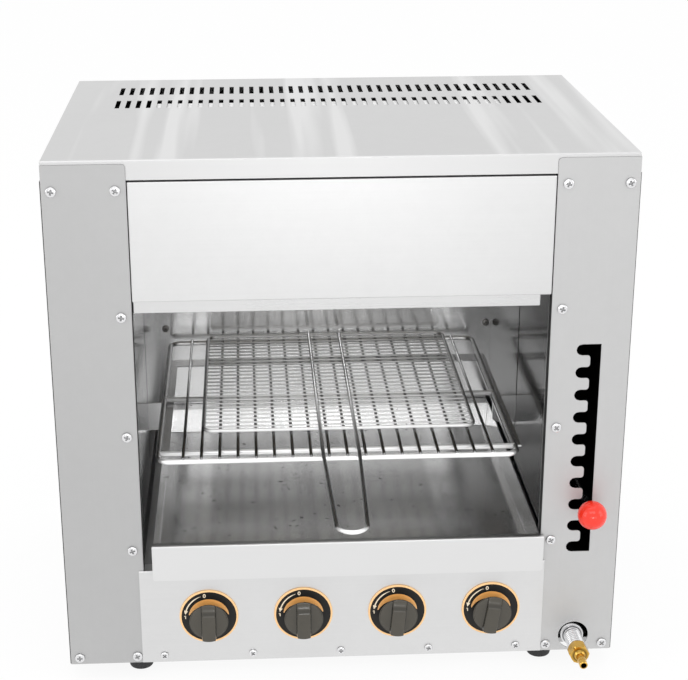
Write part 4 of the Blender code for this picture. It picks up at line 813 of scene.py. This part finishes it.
@titled
class GRILL_OT_knobs(bpy.types.Operator):
    """Draw the moulded knobs with their grip bars"""

    bl_idname = "grill.knobs"
    bl_label = "Knobs"

    radius: length("Knob at its base", 0.0205)
    face_radius: length("Knob at the edge of its face", 0.0195)
    foot_share: number("Width of the knob's foot, of its widest part", 0.74)
    skirt: length("Widest part of the knob above its foot", 0.0078)
    face: length("Height of the face on both sides of the grip", 0.0096)
    grip: length("Height of the grip bar", 0.0145)
    grip_width: length("Width of the grip bar", 0.0148)
    slope_top: length("Where the grip starts to slope, above the knob's middle", 0.0090)
    slope_foot: length("Where the grip's slope flattens", 0.0132)
    flank: length("Width of the slope from the grip to the face", 0.0012)
    edge: length("Rounding of the knob's edges", 0.0009)

    def execute(self, context):
        colour = context.scene.grill_colours.knob
        # Painted shade: where the knob's tone is low it takes a quarter of its colour.
        material = plastic("knob_plastic", colour, 0.18, print_and_painted_shade=shade(colour, 0.25), Specular_IOR_Level=0.5)
        for i in NUMBERS:
            place = centre(f"dial_plate_{i}")
            place[1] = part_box(f"knob_{i}")[1].y
            points, faces, tones_and_painted_shades = self.shape()
            points = rolled(points, math.radians(KNOB_TURNS_DEG[i])) + place
            piece(f"knob_moulding_{i}", [(points, faces, tones_and_painted_shades)], material, f"knob_{i}",
                  [f"knob_{i}"], sharp_deg=60)
        return {"FINISHED"}

    def shape(self):
        """A closed skin carried across the knob from left to right.

        At each share of the half width the loop goes up the skirt, which widens from the foot, over
        the face and back along the base. The face's height is the plain face, plus the grip where |x|
        is under half its width. The grip runs level, turns down at its slope's top and flattens at the
        slope's foot, each turn rounded, and dips a little in its middle. Its foot on both sides is a
        shallow groove painted as a dark line of shade, and its slope is painted darker as shade.
        """
        half, steps = self.grip_width / 2, 61
        dip, dip_reach, foot_rise, crown = 0.0010, 0.008, 0.0015, 0.0010
        top_bend, foot_bend, groove_depth, groove_width = 0.0012, 0.0008, 0.0003, 0.0006
        inner = np.linspace(0, half - self.edge, 6)
        flank = half - self.edge + (self.flank + 2 * self.edge) * np.linspace(0, 1, 9)[1:]
        outer = self.radius * np.sin(np.linspace(np.arcsin(flank[-1] / self.radius), math.pi / 2, 26)[1:])
        columns = np.concatenate([inner, flank, outer])
        columns = np.concatenate([-columns[::-1], columns[1:]])
        share = columns / self.radius
        bar = 1 - smooth_step((np.abs(columns) - half + self.edge) / (self.flank + self.edge))
        front_radius = self.face_radius + (self.radius - self.face_radius) * bar
        run = np.sin(np.linspace(-math.pi / 2, math.pi / 2, steps))
        x = (share * front_radius)[:, None] * np.ones(steps)
        z = run[None, :] * (front_radius * np.sqrt(1 - share ** 2))[:, None]
        steep = (self.grip - self.face - foot_rise) / (self.slope_foot - self.slope_top)
        fall = steep * top_bend * np.logaddexp(0, (z - self.slope_top) / top_bend)
        sloped = self.grip - dip * np.exp(-(z / dip_reach) ** 2) - fall
        below = (self.radius - 0.001 - z) / (self.radius - self.slope_foot)
        foot = self.face + foot_rise * np.clip(below, 0, 1)
        crest = foot + foot_bend * np.logaddexp(0, (sloped - foot) / foot_bend)
        face = self.face - crown * (np.hypot(x, z) / self.face_radius) ** 2
        groove = np.exp(-((np.abs(columns) - half - self.flank * 0.4) / groove_width) ** 2)
        height = face + (crest - face) * bar[:, None] - groove_depth * groove[:, None]
        rim = np.clip((np.hypot(x, z) - (front_radius[:, None] - self.edge)) / self.edge, 0, 1)
        height = height - self.edge * (1 - np.sqrt(1 - rim ** 2))
        front = np.stack([x, -height, z], axis=-1)
        ends = np.sqrt(1 - share ** 2) * self.radius
        wide = share * self.radius

        def line(sign, reach, size):
            """The knob's outline under its lower or upper half, at one reach and size."""
            return np.stack([wide * size, np.full(len(wide), -reach), sign * ends * size], axis=-1)[:, None]

        skirt = [(0, self.foot_share), (self.skirt * 0.5, 0.3 + 0.7 * self.foot_share), (self.skirt, 1)]
        loop = [line(-1, *row) for row in skirt] + [front] + [line(1, *row) for row in skirt[::-1]]
        # Painted shade on the grip's slope and in the groove at its foot, through the tone.
        slope = smooth_step((z - self.slope_top) / 0.001) * smooth_step((self.slope_foot + 0.001 - z) / 0.002)
        tone = 1 - 0.9 * groove[:, None] - 0.5 * slope * bar[:, None]
        tone = np.concatenate([np.ones((len(columns), 3)), tone, np.ones((len(columns), 3))], axis=1)
        return surface(np.concatenate(loop, axis=1), wrap_columns=True, tone=tone)


def print_slab(middle, width, place, thickness, tone=1.0):
    """A printed stroke: its middle line and half width at each point, as thick as the lacquer."""
    along = np.gradient(middle, axis=0)
    along /= np.linalg.norm(along, axis=1)[:, None]
    across = np.stack([-along[:, 1], along[:, 0]], axis=1) * np.array(width)[:, None]
    inner, outer = middle - across, middle + across
    corners = [(inner, 0), (inner, thickness), (outer, thickness), (outer, 0)]
    rings = [np.stack([flat[:, 0], np.full(len(flat), -reach), flat[:, 1]], axis=1)
             for flat, reach in corners]
    return surface(np.stack(rings, axis=1) + place, wrap_columns=True, tone=np.reshape(tone, (-1, 1)))


@titled
class GRILL_OT_dials(bpy.types.Operator):
    """Draw the dial plates and their printed crescents, arrows and numbers"""

    bl_idname = "grill.dials"
    bl_label = "Dials"

    rim: length("Width of the raised gold rim", 0.0020)
    crescent_radius: length("Outer edge of the crescent at its top", 0.0203)
    crescent_end: length("Outer edge of the crescent at its tips", 0.0213)
    crescent_width: length("Crescent at its thickest", 0.0072)
    arrow_radius: length("Radius of the arrow's arc", 0.0250)
    arrow_width: length("Width of the arrow's line", 0.0013)
    head_width: length("Width of the arrow's head", 0.0042)
    head_length: length("Length of the arrow's head", 0.0046)
    number_height: length("Height of the printed numbers", 0.0036)
    stroke: length("Width of the numbers' strokes", 0.0009)

    def execute(self, context):
        colours, sizes = context.scene.grill_colours, context.scene.grill_sizes
        lacquer = plastic("dial_lacquer", colours.dial, 0.45, grain=500.0, print_and_painted_shade=colours.rim,
                          Specular_IOR_Level=0.3)
        gold = plastic("gold_print", colours.gold, 0.34, grain=400.0, print_and_painted_shade=colours.rim, Metallic=0.15)
        cream = plastic("cream_print", colours.cream, 0.4, grain=400.0)
        for i in NUMBERS:
            low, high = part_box(f"dial_plate_{i}")
            place = centre(f"dial_plate_{i}")
            place[1] = high.y
            outer, hole = (high.x - low.x) / 2, 0.006
            rise, face = high.y - low.y, high.y - low.y - 0.0005
            plate = [(hole, 0), (hole, face), (outer - self.rim, face), (outer - self.rim, rise * 0.9)]
            plate += [(outer - 0.0008, rise), (outer - 0.0003, rise), (outer, rise - 0.0004)]
            plate += [(outer, 0), (hole, 0)]
            disc = turned(plate, place, steps=128, tone=(1, 1, 1, 0, 0, 0, 0, 0, 1))
            piece(f"dial_disc_{i}", [disc], lacquer, "housing", [f"dial_plate_{i}"])
            self.print_marks(i, place - (0, face, 0), sizes.print_thickness, gold, cream)
        return {"FINISHED"}

    def print_marks(self, i, place, thickness, gold, cream):
        """The crescent, and the arrow with a 0 at the top and a 1 at the left."""
        crescent_deg, arrow_start_deg, arrow_tip_deg = 85, 19, 84
        turn = np.radians(np.linspace(-crescent_deg, crescent_deg, 65))
        edge = self.crescent_radius + (self.crescent_end - self.crescent_radius) * np.sin(turn) ** 2
        width = self.crescent_width * np.clip(np.cos(turn), 0, 1) ** 0.9 / 2 + 0.00008
        middle = (edge - width)[:, None] * np.stack([np.sin(turn), np.cos(turn)], axis=1)
        crescent = print_slab(middle, width, place, thickness, np.cos(turn) ** 0.5 * 0.9 + 0.1)
        piece(f"dial_gold_{i}", [crescent], gold, "housing")
        start, tip = math.radians(arrow_start_deg), math.radians(arrow_tip_deg)
        neck = tip - self.head_length / self.arrow_radius
        turn = np.concatenate([np.linspace(start, neck, 33), np.linspace(neck + 0.0002, tip, 9)])
        middle = self.arrow_radius * np.stack([-np.sin(turn), np.cos(turn)], axis=1)
        stem = np.concatenate([np.linspace(0.25, 1, 12), np.ones(21)]) * self.arrow_width / 2
        width = np.concatenate([stem, np.linspace(1, 0, 9) * self.head_width / 2])
        tall, zero_share = self.number_height / 2, 0.62
        (zero_x, zero_z), (x, z) = (-0.0044, 0.0244), (-0.0247, -0.0006)
        round_zero = np.arange(33) * TURN / 32
        zero = np.stack([zero_share * tall * np.cos(round_zero) + zero_x,
                         tall * np.sin(round_zero) + zero_z], axis=1)
        one = np.array([(x, z - tall), (x, z), (x, z + tall)])
        flag = np.array([(x, z + tall), (x - 0.0006, z + tall * 0.75), (x - 0.0012, z + tall * 0.5)])
        strokes = ((middle, width), (zero, self.stroke / 2), (one, self.stroke / 2), (flag, self.stroke / 2))
        shapes = [print_slab(line, np.broadcast_to(half, len(line)), place, thickness)
                  for line, half in strokes]
        piece(f"dial_cream_{i}", shapes, cream, "housing")


def screw_head(place, radius, height, turn):
    """A pan head with a cross recess, facing the user.

    The head's reach is a low dome over its radius; the recess takes its depth off where the
    point lies within a bar's half width of either of two crossed lines.
    """
    sides, bar_width, bar_reach, depth = 48, 0.15, 0.56, 0.62
    share = np.concatenate([np.linspace(0, 0.62, 14), np.linspace(0.68, 1, 6)])
    angle = np.arange(sides) * TURN / sides
    x = radius * share[:, None] * np.cos(angle)
    z = radius * share[:, None] * np.sin(angle)
    dome = height * (0.55 + 0.45 * np.sqrt(np.clip(1 - share ** 2.6, 0, 1)))[:, None]
    narrow = np.minimum(np.abs(x), np.abs(z)) / (radius * bar_width)
    long = np.maximum(np.abs(x), np.abs(z)) / (radius * bar_reach)
    recess = (1 - smooth_step((narrow - 0.7) / 0.5)) * (1 - smooth_step((long - 0.82) / 0.2))
    front = np.stack([x, height * depth * recess - dome, z], axis=-1)
    wall = np.array([(0.97, 0.25), (1.0, 0.0), (0.0, 0.0)])
    # Painted shade: the cross recess is darkened, and the head's side wall darker still towards the panel.
    tone = np.concatenate([1 - 0.55 * recess, np.array([[0.55], [0.15], [0.15]]) * np.ones(sides)])
    rim = np.stack([radius * wall[:, :1] * np.cos(angle), np.broadcast_to(-height * wall[:, 1:], (3, sides)),
                    radius * wall[:, :1] * np.sin(angle)], axis=-1)
    return surface(rolled(np.concatenate([front, rim]), turn) + place, wrap_columns=True, tone=tone)


@titled
class GRILL_OT_screws(bpy.types.Operator):
    """Set the pan-head screws of the columns, the control panel and the rear lining"""

    bl_idname = "grill.screws"
    bl_label = "Screws"

    outer_inset: length("Outer screws from the column's outer edge", 0.0095)
    inner_inset: length("Inner screws from the column's inner edge", 0.0108)
    top_inset: length("Top screws below the column's top", 0.0260)
    bottom_inset: length("Bottom screws above the column's foot", 0.0077)
    pitch: length("From one inner screw to the one above", 0.1288)
    control_pitch: length("From one screw of the control panel to the next", 0.0942)
    control_height: length("Control panel's screws above its lower edge", 0.0085)
    control_shift: length("Middle screw to the left of the panel's middle", 0.0020)
    lining_height: length("Rear lining's screws above its lower edge", 0.145)

    def execute(self, context):
        colours, sizes = context.scene.grill_colours, context.scene.grill_sizes
        heads = []
        for side, sign in (("left", -1), ("right", 1)):
            low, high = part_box(f"{side}_front_panel")
            outer = (low.x if sign < 0 else high.x) - sign * self.outer_inset
            inner = (high.x if sign < 0 else low.x) + sign * self.inner_inset
            top, bottom = high.z - self.top_inset, low.z + self.bottom_inset
            rows = [top - i * self.pitch for i in range(4)] + [bottom]
            heads += [((inner, low.y, z), sizes.screw_radius) for z in rows]
            heads += [((outer, low.y, z), sizes.screw_radius) for z in (top, bottom)]
        low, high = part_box("control_panel")
        middle = (low.x + high.x) / 2 - self.control_shift
        heads += [((middle + (i - 2) * self.control_pitch, low.y, low.z + self.control_height),
                   sizes.small_screw_radius) for i in range(5)]
        turns = np.random.default_rng(7).uniform(0, math.pi / 2, len(heads))
        shapes = [screw_head(np.array(place), radius, sizes.screw_height, turn)
                  for (place, radius), turn in zip(heads, turns)]
        bright = round_metal("screw_steel", colours.zinc, 0.20, painted_recess_shade=True)
        piece("panel_screws", shapes, bright, "housing", sharp_deg=50)
        low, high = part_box("back_liner")
        left_inset, right_inset, turn = 0.0125, 0.0065, 0.4
        places = [(x, low.y, low.z + self.lining_height) for x in (low.x + left_inset, high.x - right_inset)]
        shapes = [screw_head(np.array(place), sizes.small_screw_radius, sizes.screw_height, turn)
                  for place in places]
        dark = round_metal("dark_screw_steel", colours.burner, 0.4, painted_recess_shade=True)
        piece("lining_screws", shapes, dark, "housing", sharp_deg=50)
        return {"FINISHED"}


class GRILL_OT_lever(bpy.types.Operator):
    """Finish the lift lever and draw its glossy ball"""

    bl_idname = "grill.lever"
    bl_label = "Lift lever"

    def execute(self, context):
        colours, sizes = context.scene.grill_colours, context.scene.grill_sizes
        ball_low, ball_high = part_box("ball_knob")
        radius = (ball_high.z - ball_low.z) / 2
        middle = centre("lift_lever")
        middle[1] = ball_low.y + radius
        dress(round_metal("lever_steel", colours.zinc, 0.26), "lift_lever")
        flat, hole = 0.0068, 0.0043
        lean = np.linspace(0, math.pi - math.asin(flat / radius), 60)
        profile = np.stack([radius * np.sin(lean), radius * np.cos(lean)], axis=1)
        back = profile[-1][1] + 0.0003
        bore = [(flat, back), (hole, back), (hole, 0), (0, 0)]
        ball = turned(np.concatenate([profile, bore]), middle, steps=sizes.round_steps + 24)
        material = plastic("ball_plastic", colours.ball, 0.09, grain=150.0, depth=0.00001,
                           Specular_IOR_Level=0.5)
        piece("ball_moulding", [ball], material, "lever", ["ball_knob"])
        return {"FINISHED"}


@titled
class GRILL_OT_gas_inlet(bpy.types.Operator):
    """Draw the coupling and the brass tail of the gas inlet"""

    bl_idname = "grill.gas_inlet"
    bl_label = "Gas inlet"

    flange_end: length("Inner ring's front from the coupling's rear end", 0.0150)
    groove: length("Outer ring's front behind the inner ring's", 0.0022)
    thread_pitch: length("From one ridge of the thread to the next", 0.0032)
    hexagon: length("Length of the brass hexagon", 0.0135)
    cone: length("Radius of the cone where it leaves the hexagon", 0.0066)

    def execute(self, context):
        colours = context.scene.grill_colours
        low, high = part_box("inlet_coupling")
        x, _, z = centre("inlet_coupling")
        flange, tall = (high.x - low.x) / 2, high.y - low.y
        thread, collar, ring_back = 0.0075, 0.0085, 0.008
        wall, root = self.flange_end, self.flange_end - self.groove
        # The third number is the tone: lower values paint shade into the groove between the rings and onto
        # the collar.
        outline = [(0, 0, 1), (thread, 0, 1), (thread, ring_back, 1), (flange, ring_back, 1),
                   (flange, root - 0.001, 1), (flange * 0.97, root, 1), (flange * 0.80, root, 0.2),
                   (flange * 0.80, root - 0.0004, 0.1), (flange * 0.76, root - 0.0004, 0.1),
                   (flange * 0.76, wall - 0.0008, 1), (flange * 0.73, wall, 1), (collar, wall, 0.3)]
        reach = np.arange(wall + 0.0003, tall - 0.0006, self.thread_pitch / 10)
        ridge = 0.5 - 0.5 * np.cos((reach - reach[0]) * TURN / self.thread_pitch)
        # The thread's tone paints shade into its roots.
        thread_rows = np.stack([collar - 0.0006 + 0.0011 * ridge ** 0.7, reach, 0.35 + 0.65 * ridge], axis=1)
        end = [(collar - 0.0004, tall - 0.0005, 1), (collar - 0.0009, tall, 1), (0, tall, 1)]
        radius, reach, tone = np.concatenate([outline, thread_rows, end]).T
        ring = turned(np.stack([radius, reach], axis=1), (x, high.y, z),
                      steps=context.scene.grill_sizes.round_steps, tone=tone)
        material = round_metal("coupling_zinc", shade(colours.zinc, 1.18), 0.24, painted_recess_shade=True)
        piece("inlet_ring", [ring], material, "housing", ["inlet_coupling"])
        brass = round_metal("nipple_brass", colours.brass, 0.16, painted_recess_shade=True)
        piece("brass_tail", [self.tail(*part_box("hose_nipple"))], brass, "housing", ["hose_nipple"],
              sharp_deg=25)
        return {"FINISHED"}

    def tail(self, low, high):
        """A hexagon with chamfered ends, a cone and a straight tail with low rings, bored from its tip.

        Round the axis the radius is the hexagon's flat over the cosine of the angle from the flat's
        middle, but never more than the chamfer's cone at that reach.
        """
        across, tall = (high.x - low.x) / 2, high.y - low.y
        sides = 120
        angle = np.arange(sides) * TURN / sides
        from_flat = np.mod(angle, math.pi / 3) - math.pi / 6
        hexagon = across * math.cos(math.pi / 6) / np.cos(from_flat)
        hex_end = self.hexagon
        chamfer, pipe, bore, ring_pitch = 0.0016, 0.0043, 0.0028, 0.005
        # The third number of each row is its tone: lower values paint shade on the hexagon's front, at the
        # cone's step and the tip's edge, and into the bore.
        rows = [(0.0, 0.0, 1), (0.0, across * 0.90, 0.6), (chamfer, across * 1.01, 1),
                (hex_end - chamfer, across * 1.01, 1), (hex_end, across * 0.88, 1),
                (hex_end + 0.0001, self.cone, 0.25), (hex_end + 0.0026, 0.0052, 1),
                (hex_end + 0.0034, pipe, 0.5)]
        for start in np.arange(hex_end + 0.0045, tall - 0.004, ring_pitch):
            rows += [(start, pipe, 1), (start + 0.0003, 0.00446, 1), (start + 0.0042, 0.00425, 1)]
        rows += [(tall - 0.0006, 0.00425, 1), (tall, 0.0037, 1), (tall, 0.0030, 0.7),
                 (tall - 0.0004, bore, 0.1), (hex_end, bore, 0.0), (hex_end, 0.0, 0.0)]
        reach, round_radius, tone = np.array(rows).T
        radius = np.minimum(round_radius[:, None], hexagon[None, :])
        points = np.stack([(low.x + high.x) / 2 + radius * np.cos(angle), high.y - reach[:, None] + 0 * angle,
                           (low.z + high.z) / 2 + radius * np.sin(angle)], axis=-1)
        return surface(points, wrap_columns=True, tone=tone[:, None])


class GRILL_OT_feet(bpy.types.Operator):
    """Draw the rubber feet"""

    bl_idname = "grill.feet"
    bl_label = "Feet"

    def execute(self, context):
        material = plastic("foot_rubber", context.scene.grill_colours.rubber, 0.7, grain=700.0)
        for i in NUMBERS:
            low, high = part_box(f"foot_{i}")
            x, y, _ = centre(f"foot_{i}")
            top, tall = (high.x - low.x) / 2, high.z - low.z
            profile = [(0, tall), (top, tall), (top - 0.0025, 0), (0.0055, 0), (0.004, 0.0025), (0, 0.0025)]
            shape = turned(rounded_profile(profile, 0.0018), (x, y, low.z), (0, 0, 1))
            piece(f"foot_rubber_{i}", [shape], material, "housing", [f"foot_{i}"])
        return {"FINISHED"}


@titled
class GRILL_OT_stage(bpy.types.Operator):
    """Lay the floor, and set the camera, the lights and the room"""

    bl_idname = "grill.stage"
    bl_label = "Stage"

    reach: length("Half the floor's side", 5.0)
    glow: number("Share of plain white in the floor as it is seen", 0.90)

    def execute(self, context):
        settings, colours = context.scene.grill_camera, context.scene.grill_colours
        self.floor(colours.floor)
        self.room(settings.world)
        self.camera(context.scene, settings)
        for name, place, target, size, power in (
                ("key", (-0.3, -2.1, 2.4), (0.0, 0.0, 0.2), (2.4, 0.9), settings.key),
                ("left_fill", (-2.4, -0.9, 1.0), (0.0, 0.0, 0.3), (1.4, 1.6), settings.fill),
                ("right_fill", (2.4, -1.1, 1.1), (0.0, 0.0, 0.3), (1.4, 1.6), settings.fill),
                ("overhead", (0.0, 0.3, 2.6), (0.0, 0.1, 0.0), (2.4, 2.0), settings.top),
                ("spot", (0.08, -1.90, 0.34), (0.0, 0.0, 0.15), (0.2, 0.2), settings.spot),
                ("low", (0.1, -2.5, 0.50), (0.0, 0.0, 0.3), (2.2, 0.5), settings.low)):
            light(name, place, target, size, power)
        context.scene.view_settings.view_transform = "Standard"
        return {"FINISHED"}

    def floor(self, colour):
        """A flat sheet that is mixed with plain white where it is looked at."""
        line = np.linspace(-self.reach, self.reach, 9)
        x, y = np.meshgrid(line, line, indexing="xy")
        points, faces, _ = surface(np.stack([x, y, np.zeros_like(x)], axis=-1))
        paint = Finish("floor_paint", colour, 0.6)
        plain = Signal(paint.tree, paint.shader.outputs[0])
        white = paint.node("Emission", Color=(1.0, 1.0, 1.0), Strength=1.0)
        mixed = paint.node("MixShader", numbered={0: paint.looked_at() * self.glow, 1: plain, 2: white})
        feed(paint.tree, paint.tree.nodes["Material Output"].inputs["Surface"], mixed)
        add_object("floor", add_mesh("floor", points, faces, paint.material))

    def room(self, strength):
        """White where the camera or a metal looks, and of the given strength as a light."""
        world = bpy.data.worlds.new("room")
        world.use_nodes = True
        tree = world.node_tree
        sky = tree.nodes["Background"].inputs
        feed(tree, sky["Color"], (1.0, 1.0, 1.0))
        feed(tree, sky["Strength"], Nodes(tree).looked_at() * (1 - strength) + strength)
        bpy.context.scene.world = world

    def camera(self, scene, settings):
        """The camera, with its lens and shift."""
        data = bpy.data.cameras.new("camera")
        data.lens, data.shift_x, data.shift_y = settings.lens, settings.shift_x, settings.shift_y
        scene.camera = add_object("camera", data)
        scene.camera.location = settings.place
        scene.camera.rotation_euler = [math.radians(angle) for angle in settings.turn_deg]


def light(name, place, target, size, power):
    """A soft rectangular lamp that faces a target."""
    data = bpy.data.lights.new(name, "AREA")
    data.shape = "RECTANGLE"
    data.size, data.size_y = size
    data.energy = power
    lamp = add_object(name, data)
    lamp.location = place
    lamp.rotation_euler = (Vector(target) - Vector(place)).to_track_quat("-Z", "Y").to_euler()


OPERATORS = (GRILL_OT_sheet_metal, GRILL_OT_heat_shield, GRILL_OT_burners, GRILL_OT_rack, GRILL_OT_net,
             GRILL_OT_knobs, GRILL_OT_dials, GRILL_OT_screws, GRILL_OT_lever, GRILL_OT_gas_inlet,
             GRILL_OT_feet, GRILL_OT_stage)


class GRILL_PT_panel(bpy.types.Panel):
    """Lists the grill's settings and its pieces."""

    bl_idname = "GRILL_PT_panel"
    bl_label = "Salamander grill"
    bl_space_type = "VIEW_3D"
    bl_region_type = "UI"
    bl_category = "Grill"

    def draw(self, context):
        scene = context.scene
        for settings in (scene.grill_colours, scene.grill_sizes, scene.grill_camera):
            box = self.layout.box()
            for name in settings.__annotations__:
                box.prop(settings, name)
        for operator in OPERATORS:
            self.layout.operator(operator.bl_idname)


GROUPS = {"grill_colours": GrillColours, "grill_sizes": GrillSizes, "grill_camera": GrillCamera}


def register():
    for name, group in GROUPS.items():
        bpy.utils.register_class(group)
        setattr(bpy.types.Scene, name, PointerProperty(type=group))
    for operator in OPERATORS:
        bpy.utils.register_class(operator)
    bpy.utils.register_class(GRILL_PT_panel)


def unregister():
    bpy.utils.unregister_class(GRILL_PT_panel)
    for operator in reversed(OPERATORS):
        bpy.utils.unregister_class(operator)
    for name, group in reversed(list(GROUPS.items())):
        delattr(bpy.types.Scene, name)
        bpy.utils.unregister_class(group)


def plain(box):
    """A box as lists of plain numbers."""
    return [[float(value) for value in corner] for corner in box]


def main():
    register()
    for operator in OPERATORS:
        group, call = operator.bl_idname.split(".")
        getattr(getattr(bpy.ops, group), call)()


if __name__ == "__main__":
    main()
